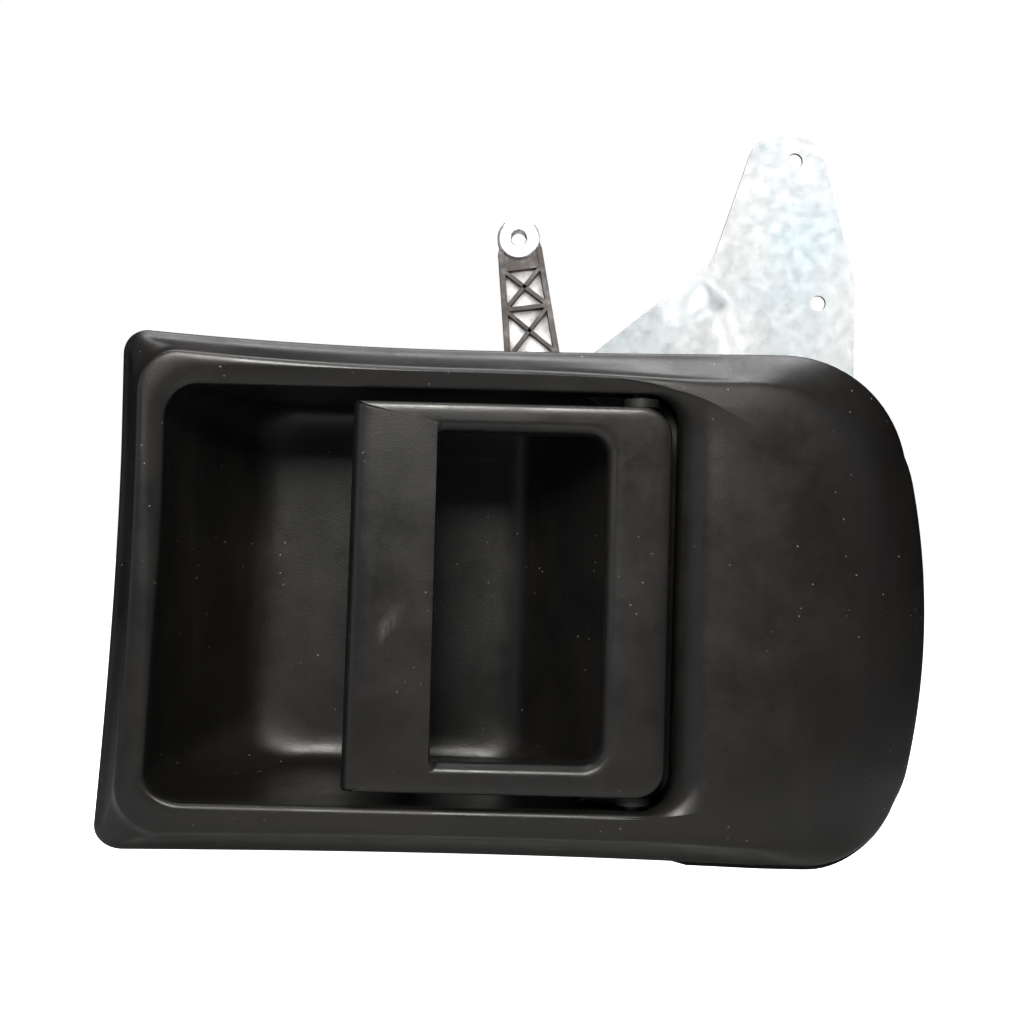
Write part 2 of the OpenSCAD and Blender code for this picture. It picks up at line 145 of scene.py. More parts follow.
class DoorHandleGrip(bpy.types.PropertyGroup):
    """Sizes and colour of the handle's grip"""

    face_y: number("Face", -15.0, "Front face")
    back_y: number("Back", -2.0, "Rear face")
    left: number("Left", -31.4, "Left edge at the middle")
    right: number("Right", 54.2, "Right edge")
    top: number("Top", 53.7, "Top edge")
    bottom: number("Bottom", -50.5, "Bottom edge")
    win_left: number("Window left", -8.2, "Left edge of the window")
    win_right: number("Window right", 37.0, "Right edge of the window")
    win_top: number("Window top", 45.5, "Top edge of the window")
    win_bottom: number("Window bottom", -41.4, "Bottom edge of the window")
    bevel: number("Window bevel", 2.6, "Bevel around the window")
    edge: number("Edge", 1.1, "Rounding of the outer edge")
    plastic: color("Plastic", (0.004, 0.0038, 0.0037), "Colour of the grip's plastic")


class DoorHandleBracket(bpy.types.PropertyGroup):
    """Sizes and colour of the bracket plate"""

    front_y: number("Front", 41.5, "Front of the lower part")
    step: number("Step", 5.0, "How far the upper part is set back")
    sheet: number("Sheet", 2.0, "Thickness of the sheet")
    hole: number("Hole", 2.25, "Radius of the two open holes")
    plating: color("Plating", (0.56, 0.57, 0.56), "Colour of the zinc plating")


class DoorHandleLever(bpy.types.PropertyGroup):
    """Sizes and colours of the release lever"""

    tip_x: number("Tip across", 12.0, "Rod hole, across")
    tip_z: number("Tip height", 105.0, "Rod hole, height")
    piv_x: number("Pivot across", 24.0, "Pivot, across")
    piv_z: number("Pivot height", 20.8, "Pivot, height")
    boss_x: number("Tail across", 46.35, "Rounded end of the tail, across")
    boss_z: number("Tail height", -23.3, "Rounded end of the tail, height")
    front_y: number("Front", 44.5, "Front of the ribs")
    rear_y: number("Rear", 51.0, "Rear of the web")
    alloy: color("Alloy", (0.86, 0.855, 0.85), "Colour of the web, the hub and the tip")
    # The ribs' dark colour is partly dirt and partly painted shade of their shadowed sides.
    ribs: color("Ribs", (0.17, 0.155, 0.145), "Colour of the grimy ribs")


class DoorHandleStage(bpy.types.PropertyGroup):
    """Camera, lights and surroundings"""

    distance: number("Distance", 560.0, "Camera to the ring's front")
    aim_x: number("Aim across", 12.0, "Where the camera looks, across")
    aim_z: number("Aim height", 24.9, "Where the camera looks, height")
    roll: bpy.props.FloatProperty(name="Roll", default=math.radians(1.4), subtype="ANGLE",
                                  description="How far the object seems turned clockwise")
    lens: bpy.props.FloatProperty(name="Lens", default=74.3, min=1, unit="CAMERA",
                                  description="Focal length")
    key: power("Key light", 0.9, "Power of the small light high in front, on everything but the metal")
    overhead: power("Overhead light", 3.35, "Power of the broad light above")
    left: power("Left light", 0.75, "Power of the soft light at the left")
    right: power("Right light", 0.32, "Power of the soft light at the right")
    metal_card: power("Metal light, front", 1.85, "Power of the front light on the plate and the lever")
    metal_right: power("Metal light, right", 1.5, "Power of the right light on the plate and the lever")
    sky: bpy.props.FloatProperty(name="White", default=1.0, min=0, soft_max=2, subtype="FACTOR",
                                 description="Brightness of the surroundings that the camera sees")


PART_GROUPS = {
    "dh_bezel": DoorHandleBezel,
    "dh_bowl": DoorHandleBowl,
    "dh_grip": DoorHandleGrip,
    "dh_bracket": DoorHandleBracket,
    "dh_lever": DoorHandleLever,
    "dh_stage": DoorHandleStage,
}


# ---------------------------------------------------------------- surfaces


def smooth(a, b, x):
    """Rises from 0 at a to 1 at b along 3t^2 - 2t^3."""
    t = np.clip((np.asarray(x, float) - a) / (b - a), 0, 1)
    return t * t * (3 - 2 * t)


def mix(a, b, w):
    """a where w is 0, b where w is 1, and a straight line between."""
    return a + (b - a) * w


def corner(cx, cz, r, start):
    """Quarter circle of radius r about (cx, cz), from the angle start on, in degrees."""
    a = np.radians(start + np.linspace(0, 90, ARC_STEPS + 1))
    return np.stack([cx + r * np.cos(a), cz + r * np.sin(a)], 1)


def run(a, b):
    """Points strictly between a and b, closer together near both ends by a cosine law."""
    t = (1 - np.cos(np.linspace(0, math.pi, EDGE_STEPS + 1)[1:-1])) / 2
    return np.array(a) + (np.array(b) - np.array(a)) * t[:, None]


def loop(xl, xr, zb, zt, r_tl, r_tr, r_br, r_bl):
    """Rectangle with four corner radii as a closed loop of (x, z), from the bottom right up."""
    return np.concatenate([
        corner(xr - r_br, zb + r_br, r_br, -90), run((xr, zb + r_br), (xr, zt - r_tr)),
        corner(xr - r_tr, zt - r_tr, r_tr, 0), run((xr - r_tr, zt), (xl + r_tl, zt)),
        corner(xl + r_tl, zt - r_tl, r_tl, 90), run((xl, zt - r_tl), (xl, zb + r_bl)),
        corner(xl + r_bl, zb + r_bl, r_bl, 180), run((xl + r_bl, zb), (xr - r_br, zb)),
    ])


def pull(p, bulge, top_left=3.1, top_right=0.7, bottom_left=-1.0, bottom_right=-1.1):
    """Bends a loop's edges: the left one leans out downwards by a power law, the right one
    swells as a parabola, and top and bottom rise from the middle as parabolas."""
    x, z = p[:, 0], p[:, 1]
    lean = np.where(x < 0, -5 * (x / 94) ** 4 * np.clip((40 - z) / 101, 0, None) ** 1.6, 0)
    swell = np.where(x > 0, bulge * (x / 118.5) ** 4 * np.clip(1 - ((z + 4) / 46) ** 2, 0, None), 0)
    up = np.where(x < 0, top_left * (x / 84) ** 2, top_right * np.clip((x / 75) ** 2, 0, 1))
    down = np.where(x < 0, bottom_left * (x / 89) ** 2, bottom_right * np.clip((x / 80) ** 2, 0, 1))
    dz = np.where(z > 0, up * np.clip(z / 60, 0, 1), down * np.clip(-z / 60, 0, 1))
    return np.stack([x + lean + swell, z + dz], 1)


def at(p, y):
    """Loop p of (x, z) lifted to depth y, which is one value or one for each point."""
    return np.stack([p[:, 0], np.broadcast_to(np.asarray(y, float), len(p)), p[:, 1]], 1)


def rounded(sections, shares, steps=6):
    """Path of loops with rounded corners. Between loops k-1, k and k+1 it follows the
    quadratic Bezier curve whose ends lie at the share of the way to each neighbour."""
    s = [np.asarray(q, float) for q in sections]
    out = [s[0]]
    for k in range(1, len(s) - 1):
        f = np.asarray(shares[k], float)
        f = f[:, None] if f.ndim else f
        a, b = s[k] + (s[k - 1] - s[k]) * f, s[k] + (s[k + 1] - s[k]) * f
        for t in np.linspace(0, 1, steps + 1):
            out.append((1 - t) ** 2 * a + 2 * t * (1 - t) * s[k] + t * t * b)
    out.append(s[-1])
    return np.array(out)


def grid_faces(rows, cols, close_rows=False, close_cols=True):
    """Quads of a grid of rows by cols points, closed round in either direction."""
    i = np.arange(rows if close_rows else rows - 1)[:, None]
    j = np.arange(cols if close_cols else cols - 1)[None, :]
    i2, j2 = (i + 1) % rows, (j + 1) % cols
    quads = np.stack([i * cols + j, i * cols + j2, i2 * cols + j2, i2 * cols + j], -1)
    return quads.reshape(-1, 4)


class Shape:
    """Collects surfaces in mm and makes them one mesh."""

    def __init__(self):
        self.points, self.faces, self.count = [], [], 0

    def add(self, points, faces, flip=False):
        """Points and faces that count from this surface's first point, turned over by flip."""
        points = np.asarray(points, float).reshape(-1, 3)
        for f in faces:
            f = [int(i) + self.count for i in f]
            self.faces.append(f[::-1] if flip else f)
        self.points.append(points)
        self.count += len(points)
        return self

    def grid(self, rows, close_rows=False, close_cols=True, flip=False):
        """Surface on rows of points, each row joined to the next."""
        rows = np.asarray(rows, float)
        return self.add(rows, grid_faces(rows.shape[0], rows.shape[1], close_rows, close_cols), flip)

    def prism(self, outline, y0, y1, draft=0.0):
        """Upright sides on a closed (x, z) outline between depths y0 and y1, closed by two
        flat ends; the front end is drawn in by draft towards the outline's centre line."""
        p = np.asarray(outline, float)
        nxt, prv = np.roll(p, -1, 0), np.roll(p, 1, 0)
        t = (nxt - prv) / np.maximum(np.linalg.norm(nxt - prv, axis=1), 1e-9)[:, None]
        front = p - np.stack([t[:, 1], -t[:, 0]], 1) * draft
        n = len(p)
        sides = grid_faces(2, n)
        ends = [list(range(2 * n - 1, n - 1, -1)), list(range(n))]
        return self.add(np.concatenate([at(front, y0), at(p, y1)]), [*sides, *ends])

    def lathe(self, profile, origin, steps=48):
        """Closed profile of (radius, depth) turned once about the y direction through origin."""
        prof = np.asarray(profile, float)
        a = np.linspace(0, 2 * math.pi, steps, endpoint=False)
        r, depth = prof[:, 0][:, None], prof[:, 1][:, None] * np.ones_like(a)
        turned = np.stack([r * np.cos(a), depth, r * np.sin(a)], -1)
        return self.grid(turned + np.asarray(origin, float), close_rows=True, flip=True)

    def tube(self, path, radius, sides=14):
        """Round wire along a path: circles across its tangent, carried along without twist,
        with both ends closed by a shrinking cap."""
        p = np.asarray(path, float)
        t = np.gradient(p, axis=0)
        t /= np.linalg.norm(t, axis=1)[:, None]
        n = np.cross(t[0], [0.3, 0.2, 0.93])
        normals = []
        for d in t:
            n = n - d * (n @ d)
            n /= np.linalg.norm(n)
            normals.append(n)
        normals = np.array(normals)
        b = np.cross(t, normals)
        a = np.linspace(0, 2 * math.pi, sides, endpoint=False)
        ring = normals[:, None] * np.cos(a)[:, None] + b[:, None] * np.sin(a)[:, None]
        body = p[:, None] + radius * ring
        shrink = 0.7 * radius
        head = np.array([p[0] + PINHOLE * ring[0], p[0] + shrink * ring[0]])
        tail = np.array([p[-1] + shrink * ring[-1], p[-1] + PINHOLE * ring[-1]])
        return self.grid(np.concatenate([head, body, tail]), flip=True)

    def make(self, name, bevel=0.0, smooth_angle=35.0):
        """One mesh object in metres with smooth shading up to an angle."""
        mesh = bpy.data.meshes.new(name)
        mesh.from_pydata((np.concatenate(self.points) * MM).tolist(), [], self.faces)
        net = bmesh.new()
        net.from_mesh(mesh)
        bmesh.ops.remove_doubles(net, verts=net.verts, dist=MERGE * MM)
        bmesh.ops.recalc_face_normals(net, faces=net.faces)
        net.to_mesh(mesh)
        net.free()
        mesh.polygons.foreach_set("use_smooth", [True] * len(mesh.polygons))
        obj = bpy.data.objects.new(name, mesh)
        bpy.context.scene.collection.objects.link(obj)
        if smooth_angle < 180:
            mesh.set_sharp_from_angle(angle=math.radians(smooth_angle))
        if bevel:
            add_bevel(obj, bevel)
        return obj


def add_bevel(obj, width):
    """Rounds the sharp edges of a mesh by width, in mm."""
    mod = obj.modifiers.new("Edges", "BEVEL")
    mod.width = width * MM
    mod.segments = 2
    mod.limit_method = "ANGLE"
    mod.angle_limit = math.radians(38)
    mod.harden_normals = True


def place(obj, body, nodes, material):
    """Gives a piece its material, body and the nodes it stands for."""
    obj.data.materials.clear()
    obj.data.materials.append(material)
    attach(obj, body)
    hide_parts(*nodes)
    return obj


# ---------------------------------------------------------------- materials


class Look:
    """A material's node tree with the few nodes that every finish here is built from."""

    def __init__(self, name, color, rough, metallic=0.0, specular=0.5):
        self.mat = bpy.data.materials.new(name)
        self.mat.use_nodes = True
        self.tree = self.mat.node_tree
        self.bsdf = self.tree.nodes["Principled BSDF"]
        self.bsdf.inputs["Base Color"].default_value = (*color, 1)
        self.bsdf.inputs["Roughness"].default_value = rough
        self.bsdf.inputs["Metallic"].default_value = metallic
        self.bsdf.inputs["Specular IOR Level"].default_value = specular
        self.coord = self.node("ShaderNodeTexCoord").outputs["Object"]
        self.normal = None

    def node(self, kind, **settings):
        n = self.tree.nodes.new(kind)
        for key, value in settings.items():
            setattr(n, key, value)
        return n

    def link(self, a, b):
        self.tree.links.new(a, b)

    def stretched(self, scale):
        """Object coordinates, in metres, times a scale for each axis."""
        m = self.node("ShaderNodeMapping")
        m.inputs["Scale"].default_value = scale
        self.link(self.coord, m.inputs["Vector"])
        return m.outputs["Vector"]

    def noise(self, scale, detail=3.0, rough=0.5, stretch=None, distortion=0.0):
        """Cloudy noise from 0 to 1, with scale in clouds to the metre."""
        n = self.node("ShaderNodeTexNoise")
        n.inputs["Scale"].default_value = scale
        n.inputs["Detail"].default_value = detail
        n.inputs["Roughness"].default_value = rough
        n.inputs["Distortion"].default_value = distortion
        self.link(self.stretched(stretch) if stretch else self.coord, n.inputs["Vector"])
        return n.outputs["Fac"]

    def cells(self, scale):
        """Distance to the nearest of the scattered points of a cell pattern."""
        n = self.node("ShaderNodeTexVoronoi")
        n.inputs["Scale"].default_value = scale
        self.link(self.coord, n.inputs["Vector"])
        return n.outputs["Distance"]

    def band(self, value, low, high, to_low=0.0, to_high=1.0):
        """Maps value from low..high onto to_low..to_high and holds it there."""
        n = self.node("ShaderNodeMapRange")
        for key, v in zip(("From Min", "From Max", "To Min", "To Max"), (low, high, to_low, to_high)):
            n.inputs[key].default_value = v
        self.link(value, n.inputs["Value"])
        return n.outputs["Result"]

    def math(self, kind, a, b):
        n = self.node("ShaderNodeMath", operation=kind)
        for i, v in enumerate((a, b)):
            if isinstance(v, (int, float)):
                n.inputs[i].default_value = v
            else:
                self.link(v, n.inputs[i])
        return n.outputs["Value"]

    def paint(self, factor, color):
        """Lays color over what the base colour is so far, by factor."""
        n = self.node("ShaderNodeMix", data_type="RGBA")
        base = self.bsdf.inputs["Base Color"]
        if base.is_linked:
            self.link(base.links[0].from_socket, n.inputs["A"])
        else:
            n.inputs["A"].default_value = base.default_value
        n.inputs["B"].default_value = (*color, 1)
        self.link(factor, n.inputs["Factor"])
        self.link(n.outputs["Result"], base)

    def roughen(self, value):
        self.link(value, self.bsdf.inputs["Roughness"])

    def bump(self, height, distance, strength=1.0):
        """Adds a bump of that height in mm over the bumps so far."""
        n = self.node("ShaderNodeBump")
        n.inputs["Strength"].default_value = strength
        n.inputs["Distance"].default_value = distance * MM
        self.link(height, n.inputs["Height"])
        if self.normal:
            self.link(self.normal, n.inputs["Normal"])
        self.normal = n.outputs["Normal"]
        self.link(self.normal, self.bsdf.inputs["Normal"])

    def edge_wear(self, low, high):
        """1 on sharp outward edges, from the surface's pointiness, broken up by noise."""
        g = self.node("ShaderNodeNewGeometry").outputs["Pointiness"]
        return self.math("MULTIPLY", self.band(g, low, high), self.band(self.noise(240), 0.4, 0.62))


def plastic(name, color, warm, rough, grain=0.05, smudge=0.5, specks=0.4):
    """Moulded black plastic: fine grain, cloudy tint, rubbed patches, dust specks."""
    k = Look(name, color, rough, specular=0.4)
    k.paint(k.band(k.noise(14, 4), 0.38, 0.66), warm)
    k.paint(k.math("MULTIPLY", k.band(k.noise(900, 2), 0.45, 0.7), 0.35),
            tuple(c * 1.6 + 0.002 for c in color))
    rub = k.band(k.noise(1, 5, 0.6, stretch=(34, 34, 9), distortion=0.4), 0.52, 0.72)
    k.paint(k.math("MULTIPLY", rub, 0.22 * smudge), (0.05, 0.048, 0.042))
    dust = k.math("MULTIPLY", k.band(k.cells(260), 0.085, 0.04), k.band(k.noise(31), 0.48, 0.56))
    k.paint(k.math("MULTIPLY", dust, specks), (0.3, 0.29, 0.27))
    worn = k.math("MULTIPLY", rub, -0.1 * smudge)
    cloud = k.math("MULTIPLY", k.band(k.noise(330, 5, 0.7), 0.3, 0.7, -1, 1), 0.035)
    cloudy = k.math("ADD", k.band(k.noise(60, 4), 0.3, 0.7, rough - 0.06, rough + 0.07), cloud)
    k.roughen(k.math("ADD", cloudy, worn))
    k.bump(k.noise(2600, 2, 0.6), grain * 0.35)
    k.bump(k.cells(1700), grain * 0.25)
    return k


def zinc(name, color=(0.66, 0.68, 0.66), rough=0.33, tint=1.0, streak=(6, 6, 60), wear=0.7):
    """Zinc plated steel: rolled streaks, blue and straw clouds of the passivation, rub marks."""
    k = Look(name, color, rough, metallic=1.0)
    k.paint(k.math("MULTIPLY", k.band(k.noise(19, 4, 0.6), 0.42, 0.7), 0.45 * tint), (0.36, 0.5, 0.56))
    k.paint(k.math("MULTIPLY", k.band(k.noise(11, 5, 0.6, stretch=(1.3, 1, 0.8)), 0.5, 0.75), 0.4 * tint),
            (0.56, 0.53, 0.38))
    k.paint(k.math("MULTIPLY", k.band(k.noise(330, 5), 0.55, 0.8), 0.3), (0.45, 0.47, 0.46))
    k.paint(k.math("MULTIPLY", k.edge_wear(0.55, 0.62), wear), (0.85, 0.86, 0.85))
    lines = k.noise(14, 6, 0.7, stretch=streak)
    k.roughen(k.band(lines, 0.3, 0.7, rough - 0.08, rough + 0.14))
    k.bump(lines, 0.02)
    k.bump(k.noise(700, 3), 0.012)
    return k.mat


def cast(name, color=(0.62, 0.61, 0.6), rough=0.4, dirt_and_shade=(0.075, 0.055, 0.04), amount=0.6):
    """Die-cast alloy: dull skin, flow marks, brown dirt in clouds, and painted shade in the same brown
    darkening the hollows; the lever's dark ribs take much of both.
    """
    k = Look(name, color, rough, metallic=1.0)
    # Painted shade: where the surface curves inwards, the hollows are darkened in the dirt colour.
    hollow = k.band(k.node("ShaderNodeNewGeometry").outputs["Pointiness"], 0.5, 0.42)
    k.paint(k.math("MULTIPLY", hollow, amount), dirt_and_shade)
    k.paint(k.math("MULTIPLY", k.band(k.noise(60, 5, 0.65), 0.48, 0.72), 0.4 * amount), dirt_and_shade)
    k.paint(k.math("MULTIPLY", k.band(k.noise(420, 3), 0.5, 0.7), 0.35), (0.4, 0.4, 0.39))
    k.roughen(k.band(k.noise(150, 4), 0.3, 0.7, rough - 0.08, rough + 0.15))
    k.bump(k.noise(520, 4, 0.6), 0.05)
    k.bump(k.noise(45, 2), 0.08)
    return k.mat


def plain_steel(name, color=(0.5, 0.5, 0.5), rough=0.3, around="Y"):
    """Turned or drawn steel: fine rings or lines and small stains."""
    k = Look(name, color, rough, metallic=1.0)
    k.paint(k.math("MULTIPLY", k.band(k.noise(180, 4), 0.5, 0.75), 0.45), tuple(c * 0.55 for c in color))
    stretch = {"Y": (1, 40, 1), "Z": (1, 1, 40)}[around]
    k.roughen(k.band(k.noise(90, 4, stretch=stretch), 0.3, 0.7, rough - 0.06, rough + 0.12))
    k.bump(k.noise(110, 3, stretch=stretch), 0.01)
    return k.mat


def rubber(name, color=(0.018, 0.018, 0.018), rough=0.82, pores=0.12):
    """Black rubber or closed-cell foam: small pores, dust and a bloom."""
    k = Look(name, color, rough, specular=0.3)
    k.paint(k.math("MULTIPLY", k.band(k.noise(90, 5), 0.5, 0.75), 0.35), (0.06, 0.058, 0.055))
    k.roughen(k.band(k.noise(300, 3), 0.3, 0.7, rough - 0.08, min(1.0, rough + 0.1)))
    k.bump(k.cells(1400), pores)
    k.bump(k.noise(500, 3), 0.04)
    return k.mat


def acetal(name, color=(0.74, 0.71, 0.62), stain=(0.42, 0.37, 0.27), milk=0.15):
    """Acetal: faintly waxy, milky where it isn't dyed, with grease marks."""
    k = Look(name, color, 0.42, specular=0.5)
    k.bsdf.inputs["Subsurface Weight"].default_value = milk
    k.bsdf.inputs["Subsurface Radius"].default_value = (0.002, 0.0015, 0.001)
    k.paint(k.math("MULTIPLY", k.band(k.noise(120, 5), 0.52, 0.74), 0.4), stain)
    k.roughen(k.band(k.noise(200, 3), 0.3, 0.7, 0.36, 0.52))
    k.bump(k.noise(600, 2), 0.015)
    return k.mat


# ---------------------------------------------------------------- pieces


def bezel_outline(p, inset=0.0):
    """The bezel's outer edge, drawn in by inset."""
    base = loop(p.left + inset, p.right - inset, p.bottom + inset, p.top - inset,
                max(1.0, 7 - inset), 33.5 - inset, 26 - inset, max(1.0, 7 - inset))
    return pull(base, p.bulge)


def bezel_ridge(inset=0.0):
    """The line where the flank turns into the ring, drawn in by inset."""
    base = loop(-88.7 + inset, 103.5 - inset, -62.0 + inset, 62.9 - inset,
                12 - inset, 30 - inset, 27 - inset, 12 - inset)
    return pull(base, 2.5, top_left=3.7, top_right=-2.8, bottom_left=-1.2, bottom_right=-0.3)


def bowl_mouth(b, out=0.0, right=None, round_right=None):
    """The mouth of the bowl, let out by out; its left edge leans out downwards."""
    r = b.radius + out
    q = round_right or r
    p = loop(b.left + 1.3 - out, (right or b.right + out), b.bottom - out, b.top + out, r, q, q, r)
    x, z = p[:, 0].copy(), p[:, 1]
    lean = 3.2 * np.clip((25 - z) / 80, 0, None) ** 1.2 * np.clip(-x / 80, 0, 1) ** 6
    return np.stack([x - lean, z], 1)


def bezel_shape(p, b):
    """Skin over sections that run from the rear rim over the coved flank, the ridge, the ring
    and the lip into the mouth, and back along the underside. Towards the right end the flank
    turns into one soft slope and the lip into a wide roll."""
    rim, ridge, hinge = bezel_outline(p), bezel_ridge(), bowl_mouth(b)
    soft = smooth(58, 104, rim[:, 0])
    low = smooth(47, b.right, hinge[:, 0])
    cove = at(bezel_outline(p, 2.3), -4.9)
    foot = at(bezel_ridge(-0.9), -9.4)
    sag = 1.0 * smooth(-50, -60, ridge[:, 1]) * (1 - soft)
    out3, ridge3 = at(rim, p.rim_y - 1.9), at(ridge, mix(p.ring_y + 0.9, p.ring_y + 1.5, soft) + sag)
    s = soft[:, None]
    slope_low, slope_high = out3 + (ridge3 - out3) * 0.34, out3 + (ridge3 - out3) * 0.7
    slope_low[:, 1] -= 0.9
    slope_high[:, 1] -= 0.95
    field = mix(at(bezel_ridge(1.2), p.ring_y + sag), at(bezel_ridge(13.0), p.ring_y - 0.15), s)
    upper = smooth(-30, 45, hinge[:, 1])[:, None]
    roll = mix(at(bowl_mouth(b, 2.0, right=65.5, round_right=16.0), p.ring_y),
               at(bowl_mouth(b, 4.6, right=65.5, round_right=18.0), p.ring_y), upper)
    lip_tight = mix(at(bowl_mouth(b, 0.5), p.ring_y + 0.8), at(bowl_mouth(b, 1.5), p.ring_y + 1.2), upper)
    lip = mix(lip_tight, at(bowl_mouth(b, 0.8, right=59.3, round_right=12.0), p.ring_y + 3.4), low[:, None])
    sections = [
        at(rim, p.rim_y), out3, mix(cove, slope_low, s), mix(foot, slope_high, s), ridge3, field,
        roll, lip, at(bowl_mouth(b), mix(-11.9, -8.9, low)), at(bowl_mouth(b), mix(-10.95, -5.95, low)),
        at(bowl_mouth(b, p.wall), mix(-10.95, -5.95, low)),
        at(bezel_ridge(2.6), p.ring_y + p.wall + 0.1),
        at(bezel_outline(p, p.wall), -3.8), at(bezel_outline(p, p.wall), p.rim_y),
    ]
    shares = [0, 0.3, mix(0.45, 0.5, soft), mix(0.3, 0.5, soft), mix(0.42, 0.5, soft), mix(0.5, 0.5, soft),
              mix(0.5, 0.42, low), 0.5, 0.45, 0.06, 0.06, 0.2, 0.3, 0]
    return Shape().grid(rounded(sections, shares), close_rows=True)


def stud_posts():
    """Blind bosses under the bezel that carry the studs: turned profiles with a drafted side."""
    s = Shape()
    lo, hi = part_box("mounting_studs")
    x1, z1 = lo.x / MM + 4, hi.z / MM - 4
    for sx in (x1, -x1):
        for sz in (z1, -z1):
            top = -6.0 if sx < 0 else -4.6
            s.lathe([(0.001, top), (3.4, top), (3.7, -3.4), (3.5, -3.2), (0.001, -3.2)], (sx, 0, sz))
    return s


def bowl_shape(b):
    """Sheet over sections that shrink from the mouth to the floor by power laws of depth, with
    a ledge at the hinge side and a wide fillet around the floor. The drive arm's slot is left
    open in the ledge."""
    fy, ly = b.floor_y, b.ledge_y
    mouth = bowl_mouth(b)
    low = smooth(47, b.right, mouth[:, 0])

    def level(y, right, inset=0.0, radius=0.0):
        t = max(0.0, (y + 11) / (fy + 11))
        r = b.radius + 3 * t
        p = loop(mix(b.left + 1.3, -59.0, t ** 1.9) + inset, right - inset,
                 mix(b.bottom, -47.0, t ** 1.8) + inset, mix(b.top, 53.0, t ** 1.8) - inset,
                 r, min(r, 9 + radius), min(r, 9 + radius), r + 3 * t)
        x, z = p[:, 0], p[:, 1]
        lean = (3.2 + 0.6 * t) * np.clip((25 - z) / 80, 0, None) ** 1.2 * np.clip(-x / 60, 0, 1) ** 6
        return at(np.stack([x - lean, z], 1), y)

    def wall_right(y):
        return mix(38.4, 14.0, (y - ly) / (fy - ly))

    edge_out, edge_in = 53.6, 38.9
    sections = [at(mouth, mix(-10.9, -5.9, low)), at(mouth, mix(-10.5, -5.5, low)), level(-3, b.right),
                level(ly - 0.6, b.right)]
    flat = [level(ly, edge_out, radius=-1), level(ly, edge_in), level(ly + 0.7, wall_right(ly + 0.7))]
    walls = [level(y, wall_right(y)) for y in np.arange(5.0, fy - 8.0, 4.5)]
    foot = [level(fy, wall_right(fy)), level(fy, wall_right(fy) - 3, inset=15)]
    shares = [0, 0.02, 0.3, 0.1, 0.05, 0.02, 0.2] + [0.5] * len(walls) + [0.5, 0]
    rows = rounded(sections + flat + walls + foot, shares, steps=4)
    last = rows[-1]
    rings = [last + (last.mean(0) - last) * t for t in (0.35, 0.7, 1.0)]
    rows = np.concatenate([rows, np.array(rings)])
    faces = grid_faces(len(rows), rows.shape[1])
    mid = rows.reshape(-1, 3)[faces].mean(1)
    arm_lo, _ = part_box("drive_arm")
    z0 = arm_lo.z / MM - 0.8
    x, y, z = mid.T
    slot = ((x > edge_in - 1.3) & (x < edge_out) & (y > ly - 0.5) & (y < ly + 4)
            & (z > z0 - 1.3) & (z < z0 + 8.5))
    return Shape().add(rows, faces[~slot])


def bowl_fittings():
    """Posts for the bracket and blocks for the hinge pin: drafted prisms and turned profiles."""
    s = Shape()
    for (x, z), start, foot_r in zip(POSTS, (37.6, 37.6, 2.6, 2.6), (4.7, 4.7, 5.2, 5.2)):
        s.lathe([(2.05, start), (foot_r, start), (4.5, 41.0), (4.0, 41.5), (2.5, 41.5), (2.05, 41.1)],
                (x, 0, z))
    sharp, soft = 0.3, 0.8
    upper, lower = (57.4, 59.9, sharp, soft), (-58.6, -55.2, soft, sharp)
    for low, high, cut_low, cut_high in (upper, lower):
        corners = [(41.5, low), (50.5, low), (50.5, high), (41.5, high)]
        block = round_corners(corners, [cut_low, cut_low, cut_high, cut_high])
        s.prism(block, -10.8, -2.0)
    return s


def round_corners(points, cuts, steps=6):
    """Closed polygon whose corners are cut back by cuts and joined by quadratic Bezier curves."""
    p = np.asarray(points, float)
    out = []
    for i in range(len(p)):
        a, c, b = p[i - 1], p[i], p[(i + 1) % len(p)]
        da, db = (a - c) / np.linalg.norm(a - c), (b - c) / np.linalg.norm(b - c)
        s, e = c + da * cuts[i], c + db * cuts[i]
        for t in np.linspace(0, 1, steps + 1):
            out.append((1 - t) ** 2 * s + 2 * t * (1 - t) * c + t * t * e)
    return np.array(out)


